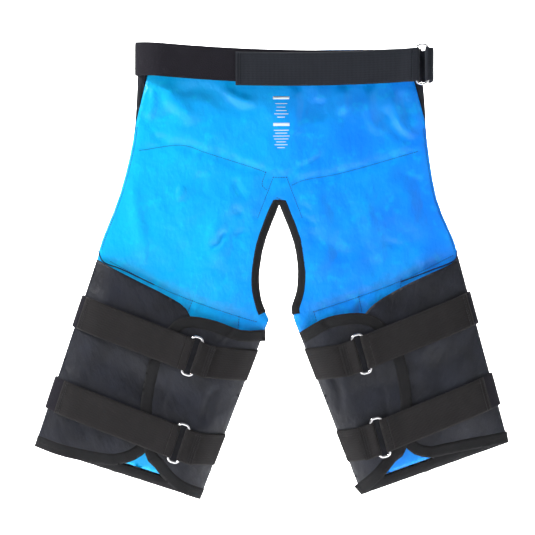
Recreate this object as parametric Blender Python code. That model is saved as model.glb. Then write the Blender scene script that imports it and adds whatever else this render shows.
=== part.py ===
"""Chainsaw chaps: a padded front panel for both legs, held by a belt and by two straps behind each leg.

The chaps hang upright in the frame: +Z runs towards the wearer's head, +Y towards the wearer's front,
and the closures face -Y. The origin is the middle of the closed belt loop, at the belt's mid-height.
Lengths are metres.
"""

import math

import bmesh
import bpy
from mathutils import Vector

# ---- cloth, webbing and wire -------------------------------------------------------------------------
CLEAR = 0.0004  # air left between two pieces that lie on each other
TURN_GAP = 0.0006  # air between a strap's end and the turn round its ring
SHELL_THICK = 0.0012
LINING_THICK = 0.0010
PAD_THICK = 0.0080
FLAP_THICK = 0.0012
BINDING_THICK = 0.0008
WEBBING_THICK = 0.0018
HOOK_THICK = 0.0010
WEBBING_WIDTH = 0.049
RING_WIRE = 0.0040
RING_LENGTH = 0.0615  # outer, across the webbing
RING_WIDTH = 0.020  # outer, along the webbing
RING_CORNER = 0.0045  # bend of the wire's centre line
INSEAM_BINDING_WIDTH = 0.0115
FLAP_BINDING_WIDTH = 0.0170
HEM_BINDING_WIDTH = 0.0160
TURN_TAIL = 0.0040  # webbing past a turn's curve
RETURN_SETTLE = 0.022  # a return leaves its strap this far before the ring
HOOK_LENGTH = 0.060
BELT_HOOK_LENGTH = 0.130
HOOK_INSET = 0.002  # the hook tab starts this far inside the return's free end
ANCHOR_OVERLAP = 0.022  # the sewn overlap of an anchor, past its ring
OVERLAP_SWELL = 0.0010  # the overlap stands off its own webbing by this much beside the ring
ANCHOR_KNEE = 0.014  # past its ring's bar, an anchor bends up towards the inner edge
STRAP_CLIMB = 0.055  # a strap climbs onto the inner flap over this length
FLAP_TOP_DROP = {"left": 0.0160, "right": 0.0190}  # from the inner edge's top to the inner flap's corner

# ---- how deep the chaps lie, measured along Y ----------------------------------------------------------
TUBE_GAP = 0.020  # room for the leg between the lining and the flaps
FLAP_BEND = 0.045  # how far in from its seam a flap has reached its full depth
SEAM_LIFT = 0.0025  # a flap's seam lies this far behind the lining
PAD_MARGIN = 0.012  # the pads stop this far inside the panel's edges
EDGE_INSET = 0.0012  # the lining stops this far inside the shell's edge

# ---- panel outline (x, z), curved through its points -----------------------------------------------------
WAIST_TOP = ((-0.2160, 0.0330), (-0.1000, 0.0270), (0.0, 0.0255), (0.1000, 0.0262), (0.2030, 0.0275))
LEFT_HIP = ((-0.2175, -0.0130), (-0.2192, -0.0530), (-0.2242, -0.1080), (-0.2430, -0.1860), (-0.2700, -0.2560))
RIGHT_HIP = ((0.2045, -0.0130), (0.2080, -0.0530), (0.2117, -0.1116), (0.2255, -0.1945), (0.2500, -0.2540))
LEFT_INSEAM = ((-0.0284, -0.2558), (-0.0365, -0.2950), (-0.0375, -0.3234), (-0.0325, -0.3500))
RIGHT_INSEAM = ((0.0132, -0.2558), (0.0200, -0.2950), (0.0185, -0.3300), (0.0110, -0.3560))
CROTCH = (-0.0076, -0.2020)
CORNER_DROP = 0.088  # how far below the belt the lining's cut-off waist corners reach
CORNER_RUN = 0.024  # and how far in along the waist

# ---- hip line: the pads start here, lower at the middle ----------------------------------------------------
PAD_TOP_OUTER = 0.122
PAD_TOP_INNER = 0.158
PAD_SPLIT = 0.014  # half the gap between the two pads under the waist
PATCH_TOP = 0.0110  # half-width of the crotch patch at its top
PATCH_FOOT = 0.0330  # and at its foot
PATCH_HEIGHT = 0.058
PATCH_ABOVE_CROTCH = 0.038
PATCH_THICK = 0.0008
PATCH_CLEAR = 0.0030  # between the patch and the binding

# ---- belt ---------------------------------------------------------------------------------------------
BELT_ENDS = (-0.2185, 0.2185)
BELT_DEPTH = 0.0125  # the strap's middle lies this far behind the panel's edges
BELT_LIFT = (0.0120, -0.0020, 0.0020)  # height of the strap's centre at its left end, middle and right end
BELT_RING_X = 0.2010
BELT_RETURN_END = -0.0735
BELT_BEND = 0.040
BELT_RETURN_DROP = 0.0060  # the return's free end hangs this much lower than the strap under it
WAISTBAND_HEIGHT = 0.049
WAISTBAND_GAP = 0.0025  # between the waistband's end and the belt's anchor
WAIST_ANCHOR_TAIL = 0.010  # the belt's anchor ends this far in from the ring, on the shell
BELT_STATIONS = (-0.12, -0.06, 0.0, 0.06, 0.12, 0.16)  # where the belt's strap may bend
WAISTBAND_INSET = 0.004  # the waistband stops this far short of the belt's end

# ---- legs: each has a frame with s across from its outer edge and u up along it --------------------------
# A strap's values are its height at the outer edge, its ring's s, its free end's s and its anchor's rise.
LEGS = {
    "left": {
        "side": 1,
        "corner": (-0.3690, -0.5600),
        "splay": 18.4,
        "hem_width": 0.2570,
        "hem_drop": -0.0030,
        "top_width": 0.2700,
        "top_height": 0.2870,
        "outer_height": 0.2920,
        "lateral_top": ((0.0280, 0.2870), (0.0740, 0.2800), (0.1140, 0.2740), (0.1500, 0.2640)),
        "lateral_reach": (0.1740, 0.1780),
        "lateral_corner": ((0.1560, 0.0400), (0.1300, 0.0170), (0.1010, 0.0080), (0.0500, 0.0020)),
        "medial_top": ((0.2350, 0.2600), (0.1970, 0.2610), (0.1600, 0.2560), (0.1380, 0.2400)),
        "medial_edge": ((0.1220, 0.1900), (0.1300, 0.1100)),
        "medial_corner": ((0.1600, 0.0430), (0.1790, 0.0290), (0.2000, 0.0150), (0.2260, 0.0060)),
        "strap_slope": 0.045,
        "straps": {"upper": (0.2100, 0.1800, 0.0040, 0.27), "lower": (0.0840, 0.2010, 0.0130, 0.28)},
    },
    "right": {
        "side": -1,
        "corner": (0.3310, -0.5545),
        "splay": 15.1,
        "hem_width": 0.2300,
        "hem_drop": 0.0180,
        "top_width": 0.2590,
        "top_height": 0.2560,
        "outer_height": 0.2870,
        "lateral_top": ((0.0140, 0.2780), (0.0500, 0.2720), (0.0920, 0.2640), (0.1380, 0.2510)),
        "lateral_reach": (0.1640, 0.1620),
        "lateral_corner": ((0.1480, 0.0320), (0.1220, 0.0120), (0.0960, 0.0090), (0.0440, 0.0050)),
        "medial_top": ((0.2200, 0.2480), (0.1880, 0.2480), (0.1560, 0.2400), (0.1330, 0.2200)),
        "medial_edge": ((0.1170, 0.1700), (0.1240, 0.0950)),
        "medial_corner": ((0.1500, 0.0330), (0.1700, 0.0190), (0.1900, 0.0040), (0.2100, -0.0080)),
        "strap_slope": 0.120,
        "straps": {"upper": (0.2060, 0.1770, 0.0040, 0.24), "lower": (0.0820, 0.1820, 0.0120, 0.18)},
    },
}

# ---- derived places -------------------------------------------------------------------------------------
LINING_BACK = TUBE_GAP / 2
LINING_FRONT = LINING_BACK + LINING_THICK
PAD_BACK = LINING_FRONT + CLEAR
PAD_FRONT = PAD_BACK + PAD_THICK
SHELL_BACK = PAD_FRONT + CLEAR
SHELL_FRONT = SHELL_BACK + SHELL_THICK
LATERAL_OUTER = -TUBE_GAP / 2 - FLAP_THICK
MEDIAL_INNER = LATERAL_OUTER - 2 * CLEAR - BINDING_THICK
MEDIAL_OUTER = MEDIAL_INNER - FLAP_THICK
STRAP_MIDDLE = MEDIAL_OUTER - 2 * CLEAR - BINDING_THICK - WEBBING_THICK / 2
RING_LIFT = RING_WIRE / 2 + CLEAR + WEBBING_THICK / 2  # from a bar's centre to the webbing round it
RETURN_LIFT = WEBBING_THICK + HOOK_THICK + 2 * CLEAR
FLAP_ROOT = LINING_BACK - SEAM_LIFT
RING_HALF = RING_WIDTH / 2 - RING_WIRE / 2
HALF_WEB = WEBBING_WIDTH / 2
TURN_REACH = RING_LIFT + TURN_TAIL  # a turn's ends lie this far in from its bar
BEND_STEPS = (0.0, 0.18, 0.40, 0.67, 1.0)  # shares of a bend where its cloth is creased to follow the curve
BEND_SPREAD = 1.15  # webbing that lies over a bend stands this much further off it
BINDING_SPREAD = 1.25  # and so does a tape

COLOURS = {
    "nylon": ((0.020, 0.022, 0.032), 0.55, 0.0),
    "lining": ((0.000, 0.300, 1.000), 0.30, 0.0),
    "padding": ((0.780, 0.760, 0.700), 0.95, 0.0),
    "binding": ((0.016, 0.016, 0.018), 0.80, 0.0),
    "webbing": ((0.018, 0.017, 0.019), 0.75, 0.0),
    "hook_tape": ((0.012, 0.012, 0.014), 0.95, 0.0),
    "ring_steel": ((0.780, 0.780, 0.800), 0.20, 1.0),
}


def clear_scene():
    """Removes every object that the file starts with."""
    for old in list(bpy.data.objects):
        bpy.data.objects.remove(old, do_unlink=True)


def material(name):
    """Returns the named material, made at its first use."""
    found = bpy.data.materials.get(name)
    if found:
        return found
    colour, roughness, metallic = COLOURS[name]
    made = bpy.data.materials.new(name)
    made.use_nodes = True
    shader = made.node_tree.nodes["Principled BSDF"]
    shader.inputs["Base Color"].default_value = (*colour, 1.0)
    shader.inputs["Roughness"].default_value = roughness
    shader.inputs["Metallic"].default_value = metallic
    return made


def add_mesh(name, mesh, finish):
    """Makes an object of a finished bmesh."""
    bmesh.ops.recalc_face_normals(mesh, faces=mesh.faces)
    data = bpy.data.meshes.new(name)
    mesh.to_mesh(data)
    mesh.free()
    made = bpy.data.objects.new(name, data)
    made.data.materials.append(material(finish))
    bpy.context.scene.collection.objects.link(made)
    return made


def pivot_at(thing, pivot):
    """Moves an object's origin to its joint's axis and leaves its shape where it is."""
    for corner in thing.data.vertices:
        corner.co -= pivot
    thing.location = pivot
    return thing


def smooth(points, steps=3, closed=False):
    """Returns a Catmull-Rom curve through the points, as a list of points."""
    count = len(points)
    curve = []
    for index in range(count if closed else count - 1):
        if closed:
            a, b, c, d = (Vector(points[(index + k) % count]) for k in (-1, 0, 1, 2))
        else:
            b, c = Vector(points[index]), Vector(points[index + 1])
            a = Vector(points[index - 1]) if index else 2 * b - c
            d = Vector(points[index + 2]) if index + 2 < count else 2 * c - b
        for step in range(steps):
            t = step / steps
            curve.append(0.5 * (2 * b + (c - a) * t + (2 * a - 5 * b + 4 * c - d) * t**2
                                + (3 * b - a - 3 * c + d) * t**3))
    if not closed:
        curve.append(Vector(points[-1]))
    return curve


def sheet(name, outline, depth, thickness, finish, creases=()):
    """Makes a closed sheet of cloth from an (x, z) outline.

    depth(point) gives the Y of its -Y face. A crease is a (point, normal) line where the sheet may bend.
    """
    mesh = bmesh.new()
    mesh.faces.new([mesh.verts.new((point[0], 0.0, point[1])) for point in outline])
    for point, normal in creases:
        whole = mesh.verts[:] + mesh.edges[:] + mesh.faces[:]
        bmesh.ops.bisect_plane(mesh, geom=whole, dist=1e-6, plane_co=(point[0], 0.0, point[1]),
                               plane_no=(normal[0], 0.0, normal[1]))
    for corner in mesh.verts:
        corner.co.y = depth(Vector((corner.co.x, corner.co.z)))
    grown = bmesh.ops.extrude_face_region(mesh, geom=mesh.faces[:], use_keep_orig=True)
    front = [item for item in grown["geom"] if isinstance(item, bmesh.types.BMVert)]
    bmesh.ops.translate(mesh, verts=front, vec=(0.0, thickness, 0.0))
    return add_mesh(name, mesh, finish)


def flat(level):
    """Returns the depth rule of a sheet that lies in one plane."""
    return lambda point: level


def offset_path(path, distance):
    """Moves an (s, y) path sideways by distance, measured square to it, towards -Y where it is positive."""
    moved = []
    for index, here in enumerate(path):
        before = Vector(path[max(index - 1, 0)])
        after = Vector(path[min(index + 1, len(path) - 1)])
        along_in = (Vector(here) - before).normalized() if index else None
        along_out = (after - Vector(here)).normalized() if index + 1 < len(path) else None
        along_in = along_in or along_out
        along_out = along_out or along_in
        square_in = Vector((along_in.y, -along_in.x))
        square_out = Vector((along_out.y, -along_out.x))
        middle = (square_in + square_out).normalized()
        moved.append(tuple(Vector(here) + middle * (distance / max(middle.dot(square_in), 0.3))))
    return moved


def strip(name, path, thickness, place, finish, skews=None):
    """Makes a flat band of webbing along an (s, y) path.

    place(s, y, side) returns the world point at that station, where side is -1 or 1 for the band's two
    edges and skews, one for each station, tells it how far the station leans.
    """
    near = offset_path(path, thickness / 2)
    far = offset_path(path, -thickness / 2)
    skews = skews or [0.0] * len(path)
    mesh = bmesh.new()
    rows = []
    for (s_near, y_near), (s_far, y_far), skew in zip(near, far, skews):
        rows.append([
            mesh.verts.new(place(s_near, y_near, -1, skew)),
            mesh.verts.new(place(s_near, y_near, 1, skew)),
            mesh.verts.new(place(s_far, y_far, 1, skew)),
            mesh.verts.new(place(s_far, y_far, -1, skew)),
        ])
    for back, front in zip(rows, rows[1:]):
        for k in range(4):
            mesh.faces.new((back[k], back[(k + 1) % 4], front[(k + 1) % 4], front[k]))
    mesh.faces.new(rows[0])
    mesh.faces.new(rows[-1])
    return add_mesh(name, mesh, finish)


def channel(name, path, lip, low, high, wall, finish):
    """Makes a folded binding along an (x, z) path: a U whose lips lie outside low and high, in Y.

    The cloth that it holds is to the left of the path, and the fold is to its right.
    """
    ridge = [
        (lip, low - wall), (-wall, low - wall), (-wall, high + wall), (lip, high + wall),
        (lip, high), (0.0, high), (0.0, low), (lip, low),
    ]
    mesh = bmesh.new()
    rows = []
    for index, here in enumerate(path):
        before = Vector(path[max(index - 1, 0)])
        after = Vector(path[min(index + 1, len(path) - 1)])
        along = (after - before).normalized()
        inward = Vector((-along.y, along.x))
        rows.append([
            mesh.verts.new((here[0] + inward.x * reach, level, here[1] + inward.y * reach))
            for reach, level in ridge
        ])
    count = len(ridge)
    for back, front in zip(rows, rows[1:]):
        for k in range(count):
            mesh.faces.new((back[k], back[(k + 1) % count], front[(k + 1) % count], front[k]))
    for end in (rows[0], rows[-1]):
        mesh.faces.new((end[0], end[1], end[6], end[7]))
        mesh.faces.new((end[1], end[2], end[5], end[6]))
        mesh.faces.new((end[2], end[3], end[4], end[5]))
    return add_mesh(name, mesh, finish)


def arc(centre, radius, start, end, steps=6):
    """Returns the points of an arc about centre, from start to end in degrees."""
    turns = [math.radians(start + (end - start) * k / steps) for k in range(steps + 1)]
    return [(centre[0] + radius * math.cos(turn), centre[1] + radius * math.sin(turn)) for turn in turns]


def ring(name, centre, along, across, pivot):
    """Makes a wire ring as a bevelled closed curve, long across the webbing."""
    half_long = RING_LENGTH / 2 - RING_WIRE / 2
    flat_along = RING_HALF - RING_CORNER
    flat_across = half_long - RING_CORNER
    route = []
    for turn, (a, b) in enumerate(((1, 1), (-1, 1), (-1, -1), (1, -1))):
        corner = (a * flat_along, b * flat_across)
        route += arc(corner, RING_CORNER, 90 * turn, 90 * turn + 90, 4)
    data = bpy.data.curves.new(name, "CURVE")
    data.dimensions = "3D"
    data.bevel_depth = RING_WIRE / 2
    data.bevel_resolution = 2
    line = data.splines.new("POLY")
    line.points.add(len(route) - 1)
    for knot, (a, b) in zip(line.points, route):
        knot.co = (*(centre + along * a + across * b - pivot), 1.0)
    line.use_cyclic_u = True
    made = bpy.data.objects.new(name, data)
    made.location = pivot
    made.data.materials.append(material("ring_steel"))
    bpy.context.scene.collection.objects.link(made)
    return made


def bend_level(distance, reach, root, full):
    """Returns the Y of cloth that leaves its seam at root and has reached full at the given reach."""
    creased = [reach * share for share in BEND_STEPS]
    levels = [full + (root - full) * (1 - share) ** 2 for share in BEND_STEPS]
    if distance <= 0:
        return root
    for k in range(len(creased) - 1):
        if distance <= creased[k + 1]:
            part = (distance - creased[k]) / (creased[k + 1] - creased[k])
            return levels[k] + (levels[k + 1] - levels[k]) * part
    return full


class Leg:
    """One leg's frame: s runs across from the outer edge, u up along it."""

    def __init__(self, name):
        sizes = LEGS[name]
        self.name = name
        self.sizes = sizes
        self.side = sizes["side"]
        splay = math.radians(sizes["splay"])
        self.across = Vector((self.side * math.cos(splay), -math.sin(splay)))
        self.up = Vector((self.side * math.sin(splay), math.cos(splay)))
        self.corner = Vector(sizes["corner"])
        self.hem_inner = (sizes["hem_width"], -sizes["hem_drop"])
        self.inner_top = (sizes["top_width"], sizes["top_height"])
        run = Vector(self.inner_top) - Vector(self.hem_inner)
        self.inner_along = run.normalized()
        self.inner_skew = run.x / run.y

    def point(self, s, u):
        """Returns the (x, z) point at (s, u)."""
        return self.corner + self.across * s + self.up * u

    def world(self, s, u, y):
        """Returns the world point at (s, u) and depth y."""
        flat_point = self.point(s, u)
        return Vector((flat_point.x, y, flat_point.y))

    def points(self, pairs):
        """Returns the (x, z) points of a list of (s, u) pairs."""
        return [self.point(*pair) for pair in pairs]

    def inner_s(self, u):
        """Returns s of the inner edge at height u."""
        return self.hem_inner[0] + (u - self.hem_inner[1]) * self.inner_skew

    def from_outer(self, point):
        """Returns an (x, z) point's distance from the outer edge."""
        return (point - self.corner).dot(self.across)

    def from_inner(self, point):
        """Returns an (x, z) point's distance from the inner edge."""
        along = self.across * self.inner_along.x + self.up * self.inner_along.y
        square = Vector((-along.y, along.x)) * self.side
        return (point - self.point(*self.hem_inner)).dot(square)

    def strap_centre(self, which, s):
        """Returns u of a strap's centre line at s."""
        return self.sizes["straps"][which][0] - self.sizes["strap_slope"] * s

    def placer(self, which):
        """Returns the rule that puts a strap's stations in the world."""
        def place(s, y, side, skew):
            rise = side * HALF_WEB
            return self.world(s + rise * skew, self.strap_centre(which, s) + rise, y)
        return place

    def anchor_centre(self, which, s):
        """Returns u of an anchor's centre line at s: along the strap, then up towards the inner edge."""
        _, ring_s, _, slope = self.sizes["straps"][which]
        return self.strap_centre(which, s) + max(s - ring_s - RING_HALF - ANCHOR_KNEE, 0.0) * slope

    def anchor_placer(self, which):
        """Returns the rule that puts an anchor's stations in the world."""
        def place(s, y, side, skew):
            rise = side * HALF_WEB
            return self.world(s + rise * skew, self.anchor_centre(which, s) + rise, y)
        return place

    def axis(self):
        """Returns the world direction of the outer edge, towards the waist."""
        return Vector((self.up.x, 0.0, self.up.y))


def half_outline(leg, hip, inseam, waist, inset=0.0):
    """Returns one half of the panel: waist, outer edge, hem, inner edge and the middle line."""
    outer = [waist[0], *hip, leg.point(0.0, leg.sizes["outer_height"])]
    outer_curve = smooth(outer, 3)
    inner = [leg.point(*leg.inner_top), *reversed(inseam), CROTCH]
    inner_curve = smooth(inner, 3)
    top_curve = smooth(waist, 3)
    around = [*outer_curve, leg.point(0.0, 0.0), leg.point(*leg.hem_inner), *inner_curve]
    around += [Vector(point) for point in reversed(top_curve[1:])]
    return inset_outline(around, inset) if inset else around


def inset_outline(outline, inset):
    """Moves a closed outline inwards by inset."""
    count = len(outline)
    area = sum(outline[k].x * outline[(k + 1) % count].y - outline[(k + 1) % count].x * outline[k].y
               for k in range(count))
    turn = 1.0 if area > 0 else -1.0
    moved = []
    for k, here in enumerate(outline):
        along_in = (here - outline[k - 1]).normalized()
        along_out = (outline[(k + 1) % count] - here).normalized()
        square_in = Vector((-along_in.y, along_in.x)) * turn
        square_out = Vector((-along_out.y, along_out.x)) * turn
        middle = (square_in + square_out).normalized()
        moved.append(here + middle * (inset / max(middle.dot(square_in), 0.5)))
    return moved


def waist_half(name):
    """Returns the waist's points from one end to the middle."""
    middle = (CROTCH[0], WAIST_TOP[2][1])
    if name == "left":
        return [WAIST_TOP[0], WAIST_TOP[1], middle]
    return [WAIST_TOP[4], WAIST_TOP[3], middle]


def pad_outline(leg, hip, inseam):
    """Returns a leg pad: from the hip line down to the hem, inside the panel's edges."""
    side = leg.side
    middle = CROTCH[0] - side * PAD_SPLIT
    inner_top = (middle, -PAD_TOP_INNER)
    crotch_side = (middle - side * PAD_MARGIN / 2, CROTCH[1] - PAD_MARGIN)
    hip_low = [Vector(point) for point in hip if point[1] < -PAD_TOP_OUTER]
    outer_top = Vector((hip[2][0], -PAD_TOP_OUTER))
    outer = smooth([outer_top, *hip_low, leg.point(0.0, leg.sizes["outer_height"])], 3)
    inner = smooth([leg.point(*leg.inner_top), *reversed(inseam)], 3)
    outer = [point + Vector((side * PAD_MARGIN, 0.0)) for point in outer]
    inner = [point - Vector((side * PAD_MARGIN, 0.0)) for point in inner]
    hem = [leg.point(PAD_MARGIN, PAD_MARGIN)]
    hem.append(leg.point(leg.hem_inner[0] - PAD_MARGIN, leg.hem_inner[1] + PAD_MARGIN))
    return [*outer, *hem, *inner, Vector(crotch_side), Vector(inner_top)]


def lining_outline(legs):
    """Returns the lining, in one piece for both legs, with its waist corners cut off."""
    left, right = legs
    drop = HEM_BINDING_WIDTH + CLEAR
    left_hip = [point for point in LEFT_HIP if point[1] < -CORNER_DROP]
    right_hip = [point for point in RIGHT_HIP if point[1] < -CORNER_DROP]
    left_corner = (LEFT_HIP[1][0], -CORNER_DROP + 0.010)
    right_corner = (RIGHT_HIP[1][0], -CORNER_DROP + 0.010)
    run = [(WAIST_TOP[0][0] + CORNER_RUN, WAIST_TOP[0][1] - 0.0010), *WAIST_TOP[1:4]]
    run.append((WAIST_TOP[4][0] - CORNER_RUN, WAIST_TOP[4][1] - 0.0005))
    outline = smooth([left_corner, *left_hip, left.point(0.0, left.sizes["outer_height"])], 3)
    outline += [left.point(0.0, drop), left.point(left.inner_s(left.hem_inner[1] + drop),
                                                  left.hem_inner[1] + drop)]
    outline += smooth([left.point(*left.inner_top), *reversed(LEFT_INSEAM), CROTCH], 3)
    outline += smooth([CROTCH, *RIGHT_INSEAM, right.point(*right.inner_top)], 3)[1:]
    outline += [right.point(right.inner_s(right.hem_inner[1] + drop), right.hem_inner[1] + drop)]
    outline += [right.point(0.0, drop)]
    outline += smooth([right.point(0.0, right.sizes["outer_height"]), *reversed(right_hip), right_corner], 3)
    outline += [Vector(point) for point in reversed(run)]
    return inset_outline(outline, EDGE_INSET)


def facing_outline(name):
    """Returns the black waist facing that fills one cut-off corner of the lining."""
    side = 1 if name == "left" else -1
    waist = WAIST_TOP[0] if name == "left" else WAIST_TOP[4]
    hip = LEFT_HIP if name == "left" else RIGHT_HIP
    inside = EDGE_INSET + CLEAR
    return [
        Vector((waist[0] + side * inside, waist[1] - inside)),
        Vector((hip[0][0] + side * inside, hip[0][1])),
        Vector((hip[1][0] + side * inside, hip[1][1])),
        Vector((hip[1][0] + side * inside, -CORNER_DROP + 0.012)),
        Vector((waist[0] + side * (CORNER_RUN - 2 * CLEAR), waist[1] - 2 * inside)),
    ]


def build_panel(legs):
    """Makes the front panel: shell, pads, lining and the trim on its edges."""
    edges = {"left": (LEFT_HIP, LEFT_INSEAM), "right": (RIGHT_HIP, RIGHT_INSEAM)}
    for leg in legs:
        hip, inseam = edges[leg.name]
        outline = half_outline(leg, hip, inseam, waist_half(leg.name), CLEAR)
        sheet("outer_shell_" + leg.name, outline, flat(SHELL_BACK), SHELL_THICK, "nylon")
        sheet("protective_pad_" + leg.name, pad_outline(leg, hip, inseam), flat(PAD_BACK), PAD_THICK, "padding")
        sheet("waist_facing_" + leg.name, facing_outline(leg.name), flat(LINING_BACK), LINING_THICK, "nylon")
        hem = [leg.point(0.0, 0.0), leg.point(*leg.hem_inner)]
        if leg.side < 0:
            hem.reverse()
        channel("hem_binding_" + leg.name, hem, HEM_BINDING_WIDTH, LINING_BACK - CLEAR, SHELL_FRONT + CLEAR,
                BINDING_THICK, "binding")
    sheet("lining", lining_outline(legs), flat(LINING_BACK), LINING_THICK, "lining")
    edge = inseam_edge(legs)
    channel("inseam_binding", edge, INSEAM_BINDING_WIDTH, LINING_BACK - CLEAR, SHELL_FRONT + CLEAR,
            BINDING_THICK, "binding")
    level = LINING_BACK - CLEAR - PATCH_THICK
    sheet("crotch_patch", patch_outline(edge), flat(level), PATCH_THICK, "lining")


def inseam_edge(legs):
    """Returns the panel's edge between the legs, from one inner edge's top over the crotch to the other."""
    left, right = legs
    edge = smooth([left.point(*left.inner_top), *reversed(LEFT_INSEAM), CROTCH], 3)
    edge += smooth([CROTCH, *RIGHT_INSEAM, right.point(*right.inner_top)], 3)[1:]
    edge[0] = edge[0].lerp(edge[1], 0.4)
    edge[-1] = edge[-1].lerp(edge[-2], 0.4)
    return edge


def patch_outline(edge):
    """Returns the crotch patch: a trapezium that ends at the binding on the edge between the legs."""
    top = CROTCH[1] + PATCH_ABOVE_CROTCH
    foot = top - PATCH_HEIGHT
    width = INSEAM_BINDING_WIDTH + PATCH_CLEAR
    arch = []
    for before, here, after in zip(edge, edge[1:], edge[2:]):
        along = (after - before).normalized()
        point = here + Vector((-along.y, along.x)) * width
        if point.y > foot:
            arch.append(point)
    outer = [(-PATCH_TOP, top), (PATCH_TOP, top), (PATCH_FOOT, foot)]
    outline = [Vector((CROTCH[0] + x, z)) for x, z in outer]
    outline += [Vector((arch[-1].x, foot)), *reversed(arch), Vector((arch[0].x, foot))]
    outline.append(Vector((CROTCH[0] - PATCH_FOOT, foot)))
    return outline


def lateral_outline(leg):
    """Returns the outer flap's (s, u) outline."""
    sizes = leg.sizes
    top = smooth([(0.0, sizes["outer_height"]), *sizes["lateral_top"], (sizes["lateral_reach"][0], 0.2350)], 3)
    foot = smooth([(sizes["lateral_reach"][1], 0.0900), *sizes["lateral_corner"], (0.0, 0.0005)], 3)
    return [tuple(point) for point in top + foot]


def medial_outline(leg):
    """Returns the inner flap's (s, u) outline, from the inner edge's top round to the hem."""
    sizes = leg.sizes
    start = sizes["top_height"] - FLAP_TOP_DROP[leg.name]
    top = smooth([(leg.inner_s(start), start), *sizes["medial_top"], *sizes["medial_edge"],
                  *sizes["medial_corner"], leg.hem_inner], 3)
    return [tuple(point) for point in top]


def flap_creases(leg, inner):
    """Returns the lines where a flap bends away from its seam."""
    if inner:
        along = leg.across * leg.inner_along.x + leg.up * leg.inner_along.y
        square = Vector((-along.y, along.x)) * leg.side
        start = leg.point(*leg.hem_inner)
    else:
        square = leg.across
        start = leg.corner
    return [(start + square * (FLAP_BEND * share), square) for share in BEND_STEPS[1:]]


def build_flaps(leg):
    """Makes a leg's two back flaps and their bindings."""
    pivot = leg.world(0.0, 0.0, FLAP_ROOT + FLAP_THICK)
    inner_pivot = leg.world(*leg.hem_inner, FLAP_ROOT + FLAP_THICK)
    sizes = leg.sizes

    def outer_depth(point):
        return bend_level(leg.from_outer(point), FLAP_BEND, FLAP_ROOT, LATERAL_OUTER)

    def inner_depth(point):
        return bend_level(leg.from_inner(point), FLAP_BEND, FLAP_ROOT, MEDIAL_OUTER)

    outer = lateral_outline(leg)
    creases = flap_creases(leg, False)
    name = leg.name + "_lateral_flap"
    pivot_at(sheet(name, leg.points(outer), outer_depth, FLAP_THICK, "nylon", creases), pivot)
    lift = (BINDING_THICK + CLEAR) * BINDING_SPREAD
    foot = 3 * (len(sizes["lateral_corner"]) + 1) + 1
    band = ribbon(outer[-foot:], -FLAP_BINDING_WIDTH)
    pivot_at(sheet(name + "_binding", leg.points(band), lambda point: outer_depth(point) - lift,
                   BINDING_THICK, "binding", creases), pivot)
    inner = medial_outline(leg)
    creases = flap_creases(leg, True)
    name = leg.name + "_medial_flap"
    pivot_at(sheet(name, leg.points(inner), inner_depth, FLAP_THICK, "nylon", creases), inner_pivot)
    band = ribbon(inner, FLAP_BINDING_WIDTH)
    pivot_at(sheet(name + "_binding", leg.points(band), lambda point: inner_depth(point) - lift,
                   BINDING_THICK, "binding", creases), inner_pivot)


def ribbon(path, width):
    """Returns the outline of a band of the given width along an (s, u) path, on its left side."""
    path = [Vector(point) for point in path]
    inner = []
    for index, here in enumerate(path):
        along_in = (here - path[index - 1]).normalized() if index else (path[1] - here).normalized()
        along_out = (path[index + 1] - here).normalized() if index + 1 < len(path) else along_in
        square_in = Vector((-along_in.y, along_in.x))
        square_out = Vector((-along_out.y, along_out.x))
        middle = (square_in + square_out).normalized()
        inner.append(here + middle * (width / max(middle.dot(square_in), 0.5)))
    return path + inner[::-1]


def strap_path(leg, end, full):
    """Returns a leg strap's (s, y) path from the outer edge to s = end, lying on the flaps."""
    lift = CLEAR + WEBBING_THICK / 2
    reach = FLAP_BEND
    seam = [(reach * share, bend_level(reach * share, reach, FLAP_ROOT, LATERAL_OUTER)) for share in BEND_STEPS]
    lying = offset_path(seam, lift * BEND_SPREAD)
    return [*lying, (reach + STRAP_CLIMB, full), (end, full)]


def cut_path(path, start):
    """Returns the part of an (s, y) path beyond s = start."""
    for index in range(len(path) - 1):
        here, after = path[index], path[index + 1]
        if here[0] <= start < after[0]:
            part = (start - here[0]) / (after[0] - here[0])
            return [(start, here[1] + (after[1] - here[1]) * part), *path[index + 1:]]
    return path


def seam_corner(path):
    """Returns the corner of a strap's sewn end that lies against the panel, where the strap turns."""
    return offset_path(path, -WEBBING_THICK / 2)[0]


def turn_path(bar, level):
    """Returns the webbing's turn round a bar: in along the low run, round, and back along the high run."""
    bend = arc((bar, level - RING_LIFT), RING_LIFT, 90, -90, 6)
    return [(bar - TURN_REACH, level), *bend, (bar - TURN_REACH, level - 2 * RING_LIFT)]


def return_path(path, end, finish):
    """Returns the run that comes back over a strap, from its free end to the ring."""
    over = cut_path(offset_path(path, RETURN_LIFT), end)
    settled = finish - RETURN_SETTLE
    high = path[-1][1] - 2 * RING_LIFT
    return [*[point for point in over[:-1] if point[0] < settled], (settled, over[-1][1]), (finish, high)]


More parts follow.
